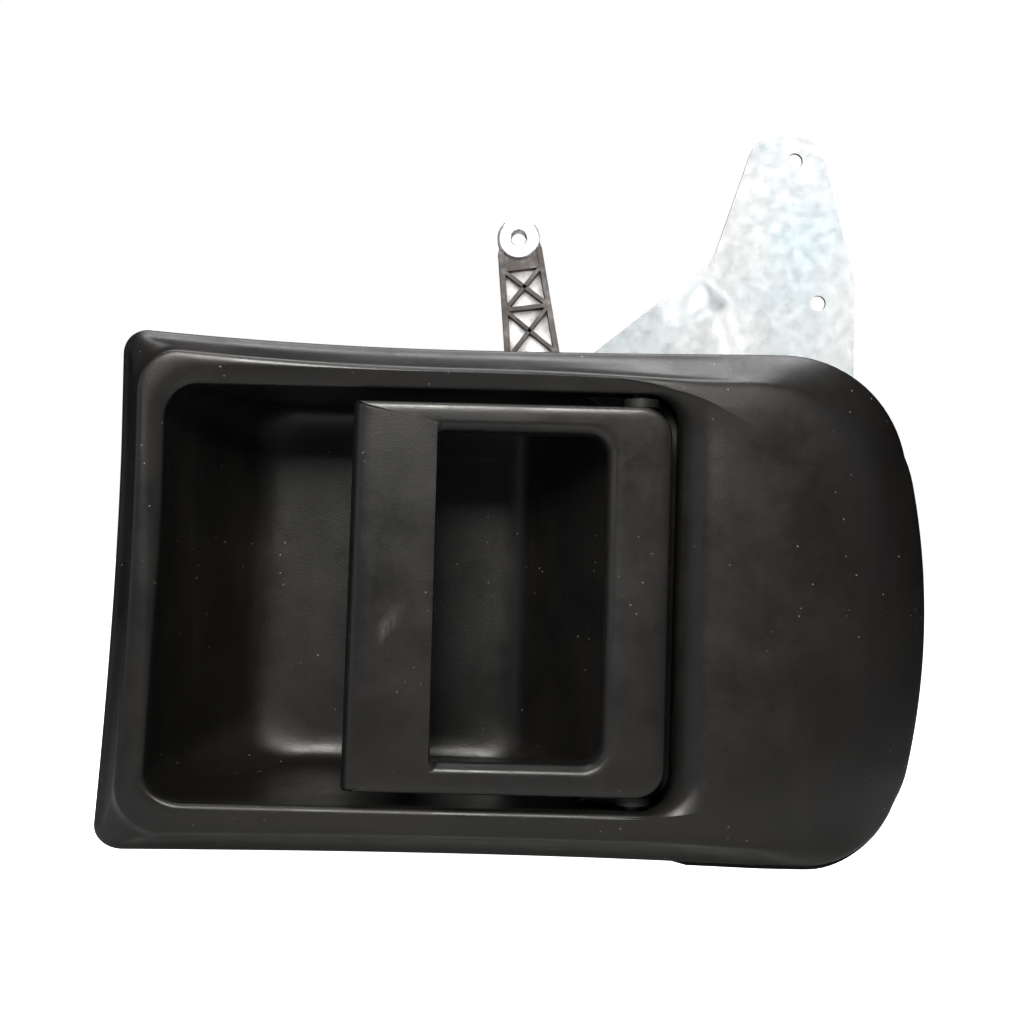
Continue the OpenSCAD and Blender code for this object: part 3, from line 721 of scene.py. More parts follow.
def grip_shape(g):
    """Frame-shaped skin: rear rounding, side, edge rounding, face, window bevel, window wall,
    and at the hinge side a hollow rear for the pin, the spring and the arm's foot."""

    def outer(inset, left_inset=None):
        small = max(0.5, 1.3 - inset * 0.3)
        p = loop(g.left + (inset if left_inset is None else left_inset), g.right - inset, g.bottom + inset,
                 g.top - inset, small, 8.3 - inset, 8.3 - inset, small)
        lean = 0.0135 * (p[:, 1] - 1.6) * np.clip((20 - p[:, 0]) / 51, 0, 1)
        return np.stack([p[:, 0] + lean, p[:, 1]], 1)

    def window(out, right_r, out_left=None):
        left = g.win_left - (out if out_left is None else out_left)
        p = loop(left, g.win_right + out, g.win_bottom - out, g.win_top + out, 0.9, right_r, right_r, 0.9)
        return np.stack([p[:, 0] + 0.004 * p[:, 1] * (p[:, 0] < 0), p[:, 1]], 1)

    side = outer(0)
    left = smooth(-29.6, -30.5, side[:, 0])
    inner = window(0, 5.2)
    at_left = smooth(-6.0, -8.1, inner[:, 0])
    hollow = smooth(31, 37.5, side[:, 0])
    front, back = g.face_y, g.back_y
    deep = mix(back - 0.25, front + 2.3, hollow)
    sections = [
        at(outer(0.7, 3.2), back),
        at(side, mix(back - 0.8, back - 3.4, left)),
        at(side, mix(front + g.edge, front + 3.0, left)),
        at(outer(g.edge, 2.7), front),
        at(window(g.bevel, 7.6, 0.25), front),
        at(inner, mix(front + g.bevel * 0.9, front + 0.3, at_left)),
        at(inner, mix(back - 0.8, back - 2.4, at_left)),
        at(window(0.7, 5.9, 1.8), back),
        at(window(1.6, 6.5, 2.6), back), at(window(1.7, 6.6, 2.7), deep),
        at(outer(1.35, 4.2), deep), at(outer(1.3, 4.2), back),
    ]
    shares = [0, 0.5, mix(0.35, 0.45, left), 0.4, 0.22, mix(0.35, 0.3, at_left), 0.4, 0.4,
              0.05, 0.1, 0.1, 0.05]
    return Shape().grid(rounded(sections + [sections[0]], shares + [0], steps=5)[:-1], close_rows=True)


def gasket_shape(p):
    """Flat foam ring that hangs out below the lower right edge of the bezel."""
    outer, inner = bezel_outline(p, 0.5), bezel_outline(p, 3.2)
    x = outer[:, 0]
    drop = np.where(outer[:, 1] < -35, smooth(55, 59, x) * mix(1.7, 1.0, smooth(95, 112, x)), 0)
    outer = outer + np.stack([0.35 * drop * (x > 95), -drop], 1)
    y0, y1 = p.rim_y, 0.0
    rows = [at(inner, y1 - 0.2), at(inner, y0), at(outer, y0 + 0.02), at(outer, y1 - 0.15),
            at((outer * 9 + inner) / 10, y1), at((outer + inner * 9) / 10, y1)]
    return Shape().grid(rows, close_rows=True)


def inside(points, outline):
    """For every point, whether it lies inside a closed outline, by counting edges crossed."""
    q, nxt = np.asarray(outline, float), np.roll(outline, -1, 0)
    x, z = points[:, 0][:, None], points[:, 1][:, None]
    crosses = (q[:, 1] > z) != (nxt[:, 1] > z)
    rise = np.where(np.abs(nxt[:, 1] - q[:, 1]) < 1e-9, 1e-9, nxt[:, 1] - q[:, 1])
    return (crosses & (x < q[:, 0] + (z - q[:, 1]) * (nxt[:, 0] - q[:, 0]) / rise)).sum(1) % 2 == 1


def circle(cx, cz, r, count=40):
    """Points of a circle, equally spaced."""
    a = np.linspace(0, 2 * math.pi, count, endpoint=False)
    return np.stack([cx + r * np.cos(a), cz + r * np.sin(a)], 1)


def spaced(ring, longest):
    """Closed ring with points added evenly wherever two neighbours stand further apart."""
    p = np.asarray(ring, float)
    out = []
    for a, b in zip(p, np.roll(p, -1, 0)):
        n = max(1, math.ceil(np.linalg.norm(b - a) / longest))
        out.append(a + (b - a) * (np.arange(n) / n)[:, None])
    return np.concatenate(out)


def panel(outline, holes, front, thick, pitch=3.0):
    """Sheet with holes: a Delaunay net of its outline, its holes and a square grid between,
    at the depth front(x, z), and the same net one thickness behind, joined along all edges."""
    rings = [spaced(r, pitch * 1.3) for r in [outline, *holes]]
    lo, hi = rings[0].min(0), rings[0].max(0)
    gx, gz = np.meshgrid(np.arange(lo[0], hi[0], pitch), np.arange(lo[1], hi[1], pitch))
    grid = np.stack([gx.ravel(), gz.ravel()], 1)
    edge_points = np.concatenate(rings)
    keep = inside(grid, rings[0])
    for hole in rings[1:]:
        keep &= ~inside(grid, hole)
    keep &= np.sqrt(((grid[:, None] - edge_points[None]) ** 2).sum(-1)).min(1) > pitch * 0.45
    points = np.concatenate([edge_points, grid[keep]])
    edges, start = [], 0
    for r in rings:
        edges += [(start + i, start + (i + 1) % len(r)) for i in range(len(r))]
        start += len(r)
    verts, _, tris, *_ = geometry.delaunay_2d_cdt([Vector(p) for p in points], edges, [], 1, 1e-5)
    p = np.array([tuple(v) for v in verts])
    tri = np.array([t for t in tris])
    mid = p[tri].mean(1)
    good = inside(mid, rings[0])
    for hole in rings[1:]:
        good &= ~inside(mid, hole)
    tri = tri[good]
    area = np.cross(p[tri[:, 1]] - p[tri[:, 0]], p[tri[:, 2]] - p[tri[:, 0]])
    tri[area < 0] = tri[area < 0][:, ::-1]
    pairs = {}
    for t in tri:
        for a, b in ((t[0], t[1]), (t[1], t[2]), (t[2], t[0])):
            pairs[(int(a), int(b))] = 1
    rims = [(a, b) for a, b in pairs if (b, a) not in pairs]
    y = front(p[:, 0], p[:, 1])
    n = len(p)
    faces = [list(t) for t in tri] + [[i + n for i in t[::-1]] for t in tri]
    faces += [[b, a, a + n, b + n] for a, b in rims]
    return Shape().add(np.concatenate([at(p, y), at(p, y + thick)]), faces)


def past_line(x, z, line):
    """Signed distance from an open line of points, positive to the right of its course."""
    q = np.asarray(line, float)
    p = np.stack([x, z], 1)[:, None]
    a, d = q[:-1], q[1:] - q[:-1]
    t = np.clip(((p - a) * d).sum(-1) / (d * d).sum(-1), 0, 1)
    gap = p - (a + t[..., None] * d)
    k = np.sqrt((gap ** 2).sum(-1)).argmin(1)
    i = np.arange(len(x))
    side = d[k, 0] * gap[i, k, 1] - d[k, 1] * gap[i, k, 0]
    return np.sqrt((gap[i, k] ** 2).sum(-1)) * -np.sign(side)


def window_box():
    """The window that the drive arm and the lever's tail work in: left, right, bottom, top."""
    left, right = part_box("open_stop_buffer"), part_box("closed_stop_buffer")
    return left[0].x / MM + 4, right[1].x / MM - 4, -39.0, -17.4


def bracket_shape(b):
    """Pressed sheet whose upper right part is set back across a short smooth joggle."""
    joggle = [(80.5, 50), (79.5, 60), (75.6, 73), (71.9, 85.9), (67.2, 89.6), (60, 98)]

    def front(x, z):
        step = smooth(-4.2, 4.2, past_line(x, z, joggle))
        flange = smooth(-11, -1, -past_line(x, z, [(35.9, 72.8), (68.2, 99.2)])) * smooth(54, 65, x)
        return b.front_y + b.step * np.maximum(step, flange)

    outline = [(-20, -46), (66, -54), (67, 38), (78, 55), (111.4, 55), (111.2, 70.5), (110.7, 94.7),
               (109.8, 98.7), (100.7, 131.9), (96.8, 136.2), (92.6, 136.9), (84.9, 136.7), (80.6, 134.6),
               (79.0, 130.6), (69.6, 101.6), (68.2, 99.2), (35.9, 72.8), (12, 54), (-20, 50)]
    cuts = [2, 2, 2, 3, 0.4, 1.5, 1.5, 1.5, 1.8, 1.2, 1.2, 1.8, 1.6, 1.5, 1.2, 1.5, 3, 3, 2]
    left, right, low, high = window_box()
    arm = [(left, low), (right, low), (right, high), (left, high)]
    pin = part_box("lever_pivot_stud")
    piv = ((pin[0].x + pin[1].x) / 2 / MM, (pin[0].z + pin[1].z) / 2 / MM)
    holes = [circle(92.5, 129.9, b.hole), circle(100.3, 88.3, b.hole),
             round_corners(arm, [0.6] * 4), circle(*piv, 4.02), circle(4, piv[1] + 8, 1.1, 20)]
    holes += [circle(x, z, 2.3) for x, z in POSTS]
    return panel(round_corners(outline, cuts), holes, front, b.sheet, 1.5)


def bar(a, b, wide, end=0.5):
    """Outline of a straight bar from a to b with cut corners."""
    a, b = np.array(a, float), np.array(b, float)
    d = (b - a) / np.linalg.norm(b - a)
    n = np.array([-d[1], d[0]]) * wide / 2
    return round_corners([a - n, b - n, b + n, a + n], [end] * 4, 3)


def lever_shapes(v):
    """The lever's web, its lattice of drafted ribs, and its turned hub, tip and tail boss."""
    down = np.array([v.piv_x - v.tip_x, v.piv_z - v.tip_z])
    length = np.linalg.norm(down)
    down = down / length
    across = np.array([-down[1], down[0]])
    foot = np.array([v.tip_x, v.tip_z])

    def lay(points):
        return np.array([foot + across * s + down * t for s, t in points])

    def half(t):
        return 6.4 + 0.053 * t

    tip_r, web = 6.2, 1.8
    cells = [8.5, 20.3, 34.5, 49.0, 63.5]
    # Web behind the ribs, open at the rod hole and the hub's bore
    side = [(half(4), 4), (half(66), 66), (8, length), (-8, length), (-half(66), 66), (-half(4), 4)]
    head = [(-tip_r + 0.3, 1.2), (-4.6, -4.0), (0, -tip_r), (4.6, -4.0), (tip_r - 0.3, 1.2)]
    outline = round_corners(lay(side + head)[::-1], [0.8, 2.4, 2.6, 2.4, 0.8, 1.0, 1.5, 2.0, 2.0, 1.5, 1.0])
    web_shape = panel(outline, [circle(v.tip_x, v.tip_z, 2.2), circle(v.piv_x, v.piv_z, 10.4)],
                      lambda x, z: np.full(len(x), v.rear_y - web), web, 3.0)
    ribs = Shape()
    for s in (-1, 1):
        rail = lay([(s * (half(3) - 0.95), 3), (s * (half(70) - 0.95), 74)])
        ribs.prism(bar(*rail, 1.9), v.front_y, v.rear_y - 0.05, 0.15)
    for i, t in enumerate(cells):
        w = half(t) - 1
        ribs.prism(bar(*lay([(-w, t), (w, t)]), 1.6), v.front_y + 0.1, v.rear_y - 0.1, 0.18)
        if i + 1 < len(cells):
            w2, t2 = half(cells[i + 1]) - 1, cells[i + 1]
            for s in (-1, 1):
                diagonal = bar(*lay([(-s * w, t), (s * w2, t2)]), 1.5)
                ribs.prism(diagonal, v.front_y + 0.25, v.rear_y - 0.1, 0.18)
    # Stepped block between the disc at the tip and the first bar, dark in the ribs' material: painted shade
    # of its unlit end wall
    block = [(-half(8) + 0.5, 8.4), (-half(4) + 0.3, 3.4), (-tip_r + 0.3, 1.0), (-3.4, 5.0), (3.4, 5.0),
             (tip_r - 0.3, 1.0), (half(4) - 0.3, 3.4), (half(8) - 0.5, 8.4)]
    ribs.prism(round_corners(lay(block)[::-1], [0.3] * 8), v.front_y + 0.5, v.rear_y - 0.1)
    hub = Shape()
    hub.lathe([(2.2, v.front_y + 0.1), (2.5, v.front_y - 0.35), (5.6, v.front_y - 0.35),
               (tip_r, v.front_y + 0.3), (tip_r, v.rear_y - 0.3), (tip_r - 0.4, v.rear_y + 0.1),
               (2.5, v.rear_y + 0.1), (2.2, v.rear_y - 0.2)], (v.tip_x, 0, v.tip_z))
    r = 5.03
    hub.lathe([(r, v.front_y - 0.3), (r + 0.3, v.front_y - 0.6), (10.4, v.front_y - 0.6), (11, v.front_y),
               (11, v.rear_y - 0.1), (10.4, v.rear_y + 0.5), (7.1, v.rear_y + 0.5), (6.5, v.rear_y + 1.0),
               (6.3, 56.2), (6.0, 56.5), (r + 0.3, 56.5), (r, 56.2)], (v.piv_x, 0, v.piv_z))
    tail = np.array([v.boss_x - v.piv_x, v.boss_z - v.piv_z])
    unit = tail / np.linalg.norm(tail)
    start = np.array([v.piv_x, v.piv_z]) + unit * 9.0
    end = np.array([v.boss_x, v.boss_z]) - unit * 2.5
    hub.prism(bar(start, end, 9.0), v.front_y + 3.6, v.rear_y - 0.7)
    for s in (-1, 1):
        n = np.array([-unit[1], unit[0]]) * s * 3.6
        hub.prism(bar(start + n, end + n * 0.9, 1.8), v.front_y + 0.4, v.rear_y - 0.6, 0.15)
    hub.lathe([(0.001, v.front_y + 0.1), (4.5, v.front_y + 0.1), (5, v.front_y + 0.6), (5, v.rear_y - 0.1),
               (4.5, v.rear_y + 0.4), (0.001, v.rear_y + 0.4)], (v.boss_x, 0, v.boss_z))
    return web_shape, ribs, hub


def curve_through(points, steps=8):
    """Catmull-Rom curve through points."""
    p = np.asarray(points, float)
    q = np.vstack([2 * p[0] - p[1], p, 2 * p[-1] - p[-2]])
    t = np.linspace(0, 1, steps, endpoint=False)[:, None]
    out = [0.5 * (2 * b + (c - a) * t + (2 * a - 5 * b + 4 * c - d) * t ** 2
                  + (3 * b - a - 3 * c + d) * t ** 3)
           for a, b, c, d in zip(q[:-3], q[1:-2], q[2:-1], q[3:])]
    return np.concatenate(out + [p[-1:]])


def handle_spring_path():
    """Helix about the hinge pin with a leg out to the ledge and one into the handle."""
    lo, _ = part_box("handle_return_spring")
    pin_lo, pin_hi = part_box("hinge_pin")
    cx, cy = (pin_lo.x + pin_hi.x) / 2 / MM, (pin_lo.y + pin_hi.y) / 2 / MM
    z0, r, turns = lo.z / MM + 0.6, 4.1, 8.5
    a = np.linspace(0, -2 * math.pi * turns, int(turns * 28))
    rise = z0 + 0.4 + 12.3 * np.linspace(0, 1, len(a))
    coil = np.stack([cx + r * np.cos(a), cy + r * np.sin(a), rise], 1)
    return np.concatenate([[[cx + r, 0.3, z0 + 0.2], [cx + r, -2.5, z0 + 0.25], [cx + r, -5.2, z0 + 0.3]],
                           coil, [[cx - r, -9.8, z0 + 12.9], [cx - r, -12.4, z0 + 13.0]]])


def lever_spring_path(v, b):
    """Flat helix about the lever's nose with a leg hooked into the plate and one down the tail."""
    r, turns, top = 7.7, 2.75, v.piv_z + 8
    a = math.pi / 2 - np.linspace(0, 2 * math.pi * turns, int(turns * 40))
    depth = 55.6 - 3.3 * np.linspace(0, 1, len(a))
    coil = np.stack([v.piv_x + r * np.cos(a), depth, v.piv_z + r * np.sin(a)], 1)
    end = coil[-1]
    lead = curve_through([(4, b.front_y + 0.4, top), (4, 46, top), (4, 53.4, top), (4.6, 55.1, top - 0.1),
                          (6.4, 55.6, top - 0.3), (14, 55.6, top - 0.3), coil[0] - np.array([3.0, 0, 0])])
    leg = curve_through([end + (-0.4, 0.03, -4), end + (-0.8, 0.1, -12), end + (1.8, 0.2, -19.5)])
    return np.concatenate([lead, coil, leg])


# ---------------------------------------------------------------- operators


class DOORHANDLE_OT_bezel(bpy.types.Operator):
    """Builds the bezel's skin and the bosses under it"""

    bl_idname = "doorhandle.bezel"
    bl_label = "Bezel"
    bl_options = {"REGISTER", "UNDO"}

    def execute(self, context):
        s = context.scene
        bezel = in_mm(s.dh_bezel)
        mat = plastic("bezel_plastic", tuple(s.dh_bezel.plastic), (0.007, 0.0063, 0.005), 0.4, 0.05).mat
        skin = bezel_shape(bezel, in_mm(s.dh_bowl)).make("bezel_skin", smooth_angle=55)
        place(skin, "housing", ["bezel"], mat)
        place(stud_posts().make("bezel_bosses", bevel=0.2), "housing", ["bezel"], mat)
        return {"FINISHED"}


class DOORHANDLE_OT_bowl(bpy.types.Operator):
    """Builds the finger bowl with its ledge, its posts and the blocks for the pin"""

    bl_idname = "doorhandle.bowl"
    bl_label = "Finger bowl"
    bl_options = {"REGISTER", "UNDO"}

    def execute(self, context):
        s = context.scene
        mat = plastic("bowl_plastic", tuple(s.dh_bowl.plastic), (0.007, 0.0063, 0.005), 0.41, 0.07, 0.8).mat
        sheet = bowl_shape(in_mm(s.dh_bowl)).make("bowl_sheet", smooth_angle=70)
        wall = sheet.modifiers.new("Wall", "SOLIDIFY")
        wall.thickness, wall.offset = s.dh_bezel.wall, 1.0
        place(sheet, "housing", ["finger_bowl"], mat)
        place(bowl_fittings().make("bowl_posts", bevel=0.15), "housing", ["finger_bowl"], mat)
        return {"FINISHED"}


class DOORHANDLE_OT_grip(bpy.types.Operator):
    """Builds the handle's frame-shaped grip"""

    bl_idname = "doorhandle.grip"
    bl_label = "Handle grip"
    bl_options = {"REGISTER", "UNDO"}

    def execute(self, context):
        g = context.scene.dh_grip
        look = plastic("grip_plastic", tuple(g.plastic), (0.007, 0.0064, 0.0055), 0.39, 0.05, 1.0, 0.3)
        self.smear(look)
        grip = grip_shape(in_mm(g)).make("grip_frame", smooth_angle=40)
        place(grip, "handle", ["handle_grip"], look.mat)
        return {"FINISHED"}

    def smear(self, look):
        """A pale rubbed smear on the bar, faded out by distance and torn up by noise."""
        spot = look.node("ShaderNodeMapping", vector_type="TEXTURE")
        spot.inputs["Location"].default_value = (-0.0201, -0.015, -0.0055)
        spot.inputs["Rotation"].default_value = (0, math.radians(33), 0)
        spot.inputs["Scale"].default_value = (1.0, 10.0, 3.2)
        look.link(look.coord, spot.inputs["Vector"])
        far = look.node("ShaderNodeVectorMath", operation="LENGTH")
        look.link(spot.outputs["Vector"], far.inputs[0])
        near = look.band(far.outputs["Value"], 0.0026, 0.0006)
        torn = look.band(look.noise(1, 5, 0.7, stretch=(260, 260, 90)), 0.42, 0.62)
        look.paint(look.math("MULTIPLY", look.math("MULTIPLY", near, torn), 0.55), (0.075, 0.073, 0.07))


class DOORHANDLE_OT_gasket(bpy.types.Operator):
    """Builds the foam gasket"""

    bl_idname = "doorhandle.gasket"
    bl_label = "Gasket"
    bl_options = {"REGISTER", "UNDO"}

    def execute(self, context):
        ring = gasket_shape(in_mm(context.scene.dh_bezel)).make("gasket_ring", smooth_angle=60)
        place(ring, "housing", ["gasket"], rubber("gasket_foam", pores=0.2))
        return {"FINISHED"}


class DOORHANDLE_OT_bracket(bpy.types.Operator):
    """Builds the pressed bracket plate"""

    bl_idname = "doorhandle.bracket"
    bl_label = "Bracket plate"
    bl_options = {"REGISTER", "UNDO"}

    def execute(self, context):
        b = context.scene.dh_bracket
        plate = bracket_shape(in_mm(b)).make("bracket_sheet", bevel=0.35, smooth_angle=40)
        plating = zinc("bracket_zinc", tuple(b.plating), 0.5, 1.0, (22, 22, 22), 0.0)
        place(plate, "housing", ["bracket_plate"], plating)
        # The sheet's sides and the rounding along its edges take a dark steel colour, which draws a dark
        # line round the plate.
        plate.data.materials.append(plain_steel("sheared_edge", (0.12, 0.11, 0.12), 0.5, "Z"))
        plate.modifiers["Edges"].material = 1
        sides = [abs(f.normal.y) < 0.3 for f in plate.data.polygons]
        plate.data.polygons.foreach_set("material_index", sides)
        return {"FINISHED"}


class DOORHANDLE_OT_lever(bpy.types.Operator):
    """Builds the release lever"""

    bl_idname = "doorhandle.lever"
    bl_label = "Release lever"
    bl_options = {"REGISTER", "UNDO"}

    def execute(self, context):
        v = context.scene.dh_lever
        mat = cast("lever_alloy", tuple(v.alloy), 0.42, amount=0.15)
        # The ribs and the stepped block take a dark copy of the alloy: partly dirt, partly painted shade of
        # the ribs' shadowed sides and the block's unlit end wall.
        rubbed = cast("lever_ribs_alloy", tuple(v.ribs), 0.5, (0.03, 0.02, 0.012), 0.9)
        web, ribs, hub = lever_shapes(in_mm(v))
        for shape, name in ((web, "lever_web"), (ribs, "lever_ribs"), (hub, "lever_hub")):
            look = rubbed if name == "lever_ribs" else mat
            place(shape.make(name, bevel=0.25), "lever", ["release_lever"], look)
        return {"FINISHED"}


class DOORHANDLE_OT_springs(bpy.types.Operator):
    """Builds the two wire springs, which sit between the housing and what they push"""

    bl_idname = "doorhandle.springs"
    bl_label = "Springs"
    bl_options = {"REGISTER", "UNDO"}

    def execute(self, context):
        s = context.scene
        steel = plain_steel("spring_steel", (0.42, 0.41, 0.4), 0.32, "Z")
        path = handle_spring_path()
        coil = Shape().tube(path, 0.6).make("handle_spring_wire", smooth_angle=180)
        low, high = Vector(path[0] * MM), Vector(path[0] * MM)
        low.z, high.z = path[:, 2].min() * MM, path[:, 2].max() * MM
        self.wrap(coil, "handle_return_spring", steel, "handle", low, high)
        path = lever_spring_path(in_mm(s.dh_lever), in_mm(s.dh_bracket))
        coil = Shape().tube(path, 0.7).make("lever_spring_wire", smooth_angle=180)
        steel = plain_steel("spring_steel_dark", (0.3, 0.29, 0.28), 0.36, "Y")
        y0, y1 = 55.6 * MM, 52.3 * MM
        self.wrap(coil, "lever_return_spring", steel, "lever", Vector((0, y0, 0)), Vector((0, y1, 0)))
        return {"FINISHED"}

    def wrap(self, obj, node, material, body, start, end):
        obj.data.materials.append(material)
        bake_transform(obj)
        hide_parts(node)


class DOORHANDLE_OT_finishes(bpy.types.Operator):
    """Gives the parts carried over from the frame their own detailed finishes"""

    bl_idname = "doorhandle.finishes"
    bl_label = "Small parts"
    bl_options = {"REGISTER", "UNDO"}

    def execute(self, context):
        nodes = frame["nodes"]
        looks = {
            "mounting_studs": zinc("stud_zinc", (0.6, 0.6, 0.56), 0.34, 1.2, (6, 50, 6)),
            "bracket_screws": zinc("screw_zinc", (0.56, 0.56, 0.53), 0.32, 1.3, (6, 50, 6)),
            "drive_arm_screws": plain_steel("small_screw_steel", (0.4, 0.4, 0.39), 0.3, "Y"),
            # The hinge pin and the hinge bushes are coloured near black as painted shade of the dark gap
            # between the grip and the bezel, where they show; the bushes' acetal is black as well.
            "hinge_pin": plain_steel("pin_steel", (0.025, 0.025, 0.026), 0.45, "Z"),
            "hinge_pin_clip": plain_steel("clip_steel", (0.26, 0.25, 0.25), 0.34, "Z"),
            "lever_circlip": plain_steel("circlip_steel", (0.2, 0.2, 0.21), 0.36, "Y"),
            "lever_washer": zinc("washer_zinc", (0.6, 0.6, 0.57), 0.3, 1.0, (30, 6, 6)),
            "lever_pivot_stud": plain_steel("stud_steel", (0.56, 0.56, 0.55), 0.26, "Y"),
            "drive_arm": cast("arm_steel", (0.5, 0.5, 0.49), 0.42, amount=0.45),
            "hinge_bushes": plastic("bush_black_acetal", (0.002, 0.002, 0.002), (0.004, 0.004, 0.003),
                                    0.6, 0.02, 0.3, 0.0).mat,
            "lever_bush": acetal("lever_bush_acetal", (0.7, 0.67, 0.58)),
            "pusher_cap": acetal("cap_acetal", (0.78, 0.76, 0.68)),
            "closed_stop_buffer": rubber("buffer_rubber", (0.02, 0.02, 0.02), 0.7, 0.05),
            "open_stop_buffer": rubber("buffer_rubber_open", (0.022, 0.021, 0.02), 0.72, 0.05),
        }
        for name, material in looks.items():
            obj = nodes[name]
            obj.data.materials.clear()
            obj.data.materials.append(material)
            add_bevel(obj, SMALL_PART_EDGE)
        return {"FINISHED"}


# Camera: sensor width in mm, and the nearest and furthest it sees in m
SENSOR, NEAR, FAR = 36.0, 0.02, 20.0
# The key lamp has a honeycomb, which narrows its light and keeps the lower right darker
KEY_SPREAD = math.radians(60)
KEY_AIM = (0, -14, 80)
# Half the floor's side and its gap under the lowest point, in m, and its glow towards the camera
FLOOR_HALF, FLOOR_GAP, FLOOR_GLOW = 3.0, 0.0005, 1.3
# How the surroundings light the object: from this height and light below to that above
SKY_BAND = (-0.2, 0.95, 0.004, 0.03)
VIEW_GAMMA = 0.85
# For each lamp: where it stands in mm, its width and height in m, its colour
LAMPS = {
    "key": ((-50, -420, 305), (0.2, 0.2), (1.0, 0.985, 0.94)),
    "overhead": ((0, 40, 450), (0.5, 0.2), (0.98, 0.97, 1.0)),
    "left": ((-500, -250, 100), (0.4, 0.4), (0.88, 0.85, 1.0)),
    "right": ((450, -350, 200), (0.4, 0.4), (0.88, 0.84, 1.0)),
    "metal_card": ((90, -420, 230), (0.5, 0.4), (1.0, 1.0, 1.0)),
    "metal_right": ((480, -170, 140), (0.4, 0.4), (1.0, 1.0, 1.0)),
}


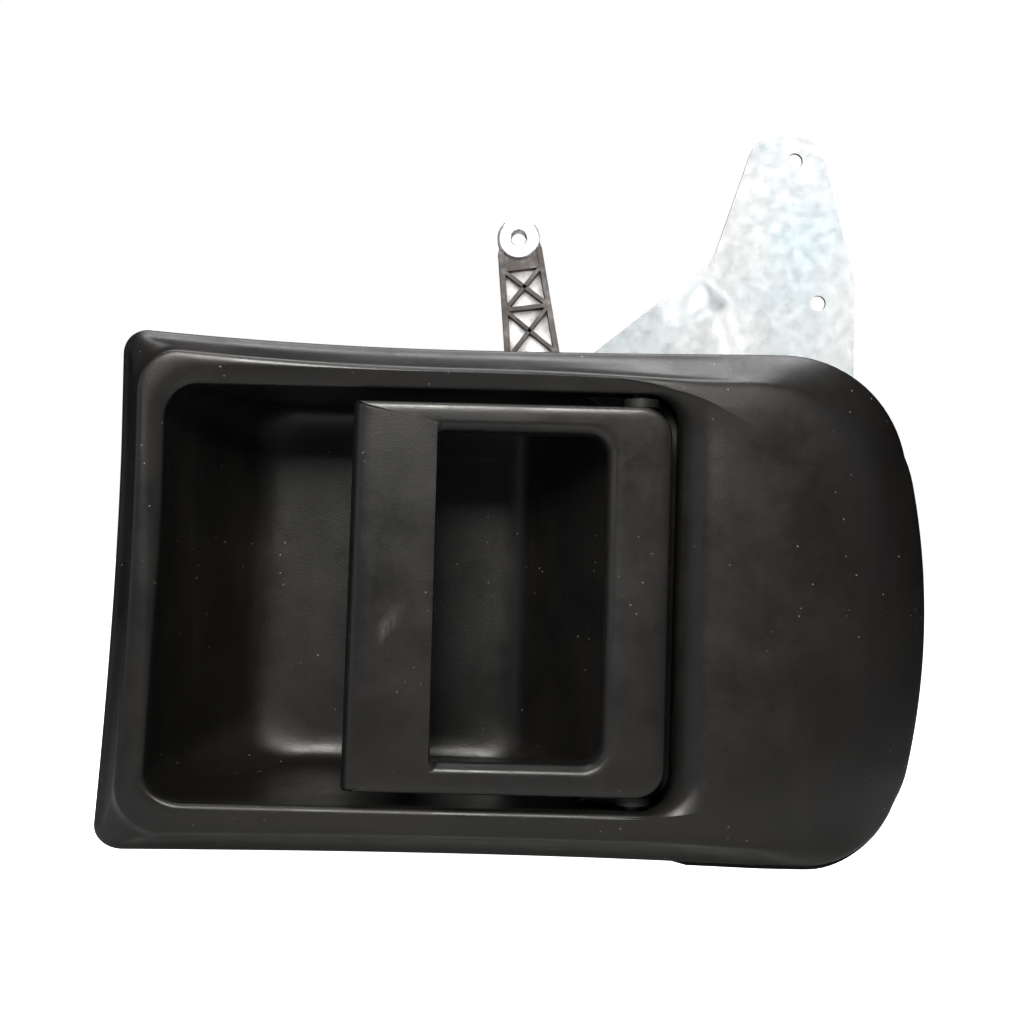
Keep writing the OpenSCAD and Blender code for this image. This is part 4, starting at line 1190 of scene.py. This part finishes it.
class DOORHANDLE_OT_stage(bpy.types.Operator):
    """Sets the camera, the lights, the white surroundings and the render's colour settings"""

    bl_idname = "doorhandle.stage"
    bl_label = "Stage"
    bl_options = {"REGISTER", "UNDO"}

    def execute(self, context):
        scene, stage, st = context.scene, context.scene.dh_stage, in_mm(context.scene.dh_stage)
        cam = bpy.data.cameras.new("Camera")
        cam.lens, cam.sensor_width = stage.lens, SENSOR
        cam.clip_start, cam.clip_end = NEAR, FAR
        eye = bpy.data.objects.new("Camera", cam)
        ring_y = in_mm(scene.dh_bezel).ring_y
        turn = Matrix.Rotation(math.radians(90), 4, "X") @ Matrix.Rotation(stage.roll, 4, "Z")
        spot = Vector((st.aim_x, ring_y - st.distance, st.aim_z)) * MM
        eye.matrix_world = Matrix.Translation(spot) @ turn
        scene.collection.objects.link(eye)
        scene.camera = eye
        aim = Vector((st.aim_x, 10, 15)) * MM
        self.floor(scene)
        for name, (spot, size, tint) in LAMPS.items():
            self.lamp(name, spot, aim, getattr(scene.dh_stage, name), *size, tint)
        key = bpy.data.objects["key"]
        key.data.spread = KEY_SPREAD
        key.rotation_euler = (Vector(KEY_AIM) * MM - key.location).to_track_quat("-Z", "Y").to_euler()
        self.share_lamps()
        world = bpy.data.worlds.new("White surroundings")
        scene.world = world
        world.use_nodes = True
        tree = world.node_tree
        tree.nodes["Background"].inputs["Color"].default_value = (1, 1, 1, 1)
        tree.nodes["Background"].inputs["Strength"].default_value = stage.sky
        self.surroundings(tree)
        scene.view_settings.view_transform = "Standard"
        scene.view_settings.gamma = VIEW_GAMMA
        return {"FINISHED"}

    def share_lamps(self):
        """The metal lamps light only the bracket and the lever, and the key all the rest."""
        metal, dark = (bpy.data.collections.new(f"Lit by the {kind}") for kind in ("cards", "key"))
        for obj in [o for o in bpy.data.objects if o.type == "MESH"]:
            group = metal if obj.name.startswith(("bracket_", "lever_")) else dark
            group.objects.link(obj)
        for name, group in (("metal_card", metal), ("metal_right", metal), ("key", dark)):
            bpy.data.objects[name].light_linking.receiver_collection = group

    def lamp(self, name, spot, aim, watts, wide, high, tint):
        """Rectangular lamp that faces aim."""
        light = bpy.data.lights.new(name, "AREA")
        light.shape, light.size, light.size_y = "RECTANGLE", wide, high
        light.energy, light.color = watts, tint
        obj = bpy.data.objects.new(name, light)
        obj.location = Vector(spot) * MM
        obj.rotation_euler = (aim - obj.location).to_track_quat("-Z", "Y").to_euler()
        bpy.context.scene.collection.objects.link(obj)

    def floor(self, scene):
        """Plain pale floor under the lowest point, which the camera sees lit to white."""
        mesh = bpy.data.meshes.new("floor")
        r, z = FLOOR_HALF, CAD_LO[2] - FLOOR_GAP
        mesh.from_pydata([(-r, -r, z), (r, -r, z), (r, r, z), (-r, r, z)], [], [(0, 1, 2, 3)])
        obj = bpy.data.objects.new("floor", mesh)
        scene.collection.objects.link(obj)
        look = Look("pale_floor", (0.8, 0.8, 0.79), 0.7)
        look.roughen(look.band(look.noise(40, 4), 0.3, 0.7, 0.62, 0.78))
        look.bsdf.inputs["Emission Color"].default_value = (1, 1, 1, 1)
        seen = look.node("ShaderNodeLightPath").outputs["Is Camera Ray"]
        look.link(look.math("MULTIPLY", seen, FLOOR_GLOW), look.bsdf.inputs["Emission Strength"])
        mesh.materials.append(look.mat)

    def surroundings(self, tree):
        """White to the camera; for the light on the object, bright above and dim in front and below."""
        nodes, links = tree.nodes, tree.links
        out, seen = nodes["World Output"], nodes["Background"]
        lit = nodes.new("ShaderNodeBackground")
        coord = nodes.new("ShaderNodeTexCoord")
        split = nodes.new("ShaderNodeSeparateXYZ")
        links.new(coord.outputs["Generated"], split.inputs[0])
        ramp = nodes.new("ShaderNodeMapRange")
        for key, v in zip(("From Min", "From Max", "To Min", "To Max"), SKY_BAND):
            ramp.inputs[key].default_value = v
        links.new(split.outputs["Z"], ramp.inputs["Value"])
        links.new(ramp.outputs["Result"], lit.inputs["Strength"])
        lit.inputs["Color"].default_value = (1, 0.985, 0.96, 1)
        path, mix_node = nodes.new("ShaderNodeLightPath"), nodes.new("ShaderNodeMixShader")
        links.new(path.outputs["Is Camera Ray"], mix_node.inputs["Fac"])
        links.new(lit.outputs["Background"], mix_node.inputs[1])
        links.new(seen.outputs["Background"], mix_node.inputs[2])
        links.new(mix_node.outputs["Shader"], out.inputs["Surface"])


BUILD_OPERATORS = (
    DOORHANDLE_OT_bezel, DOORHANDLE_OT_bowl, DOORHANDLE_OT_grip, DOORHANDLE_OT_gasket,
    DOORHANDLE_OT_bracket, DOORHANDLE_OT_lever, DOORHANDLE_OT_springs, DOORHANDLE_OT_finishes,
    DOORHANDLE_OT_stage,
)


class DOORHANDLE_PT_panel(bpy.types.Panel):
    """The sizes of the handle and a button for each step"""

    bl_idname = "DOORHANDLE_PT_panel"
    bl_label = "Door handle"
    bl_space_type = "VIEW_3D"
    bl_region_type = "UI"
    bl_category = "Door handle"

    def draw(self, context):
        for key, group in PART_GROUPS.items():
            box = self.layout.box()
            box.label(text=group.__name__.replace("DoorHandle", ""))
            for prop in group.__annotations__:
                box.prop(getattr(context.scene, key), prop)
        for op in BUILD_OPERATORS:
            self.layout.operator(op.bl_idname)


CLASSES = (*PART_GROUPS.values(), *BUILD_OPERATORS, DOORHANDLE_PT_panel)


def register():
    for cls in CLASSES:
        bpy.utils.register_class(cls)
    for key, group in PART_GROUPS.items():
        setattr(bpy.types.Scene, key, bpy.props.PointerProperty(type=group))


def unregister():
    for key in PART_GROUPS:
        delattr(bpy.types.Scene, key)
    for cls in reversed(CLASSES):
        bpy.utils.unregister_class(cls)


def main():
    """Registers the classes and builds everything in order."""
    register()
    for op in BUILD_OPERATORS:
        name = op.bl_idname.split(".")[1]
        getattr(bpy.ops.doorhandle, name)()
    bpy.context.view_layer.update()


if __name__ == "__main__":
    main()
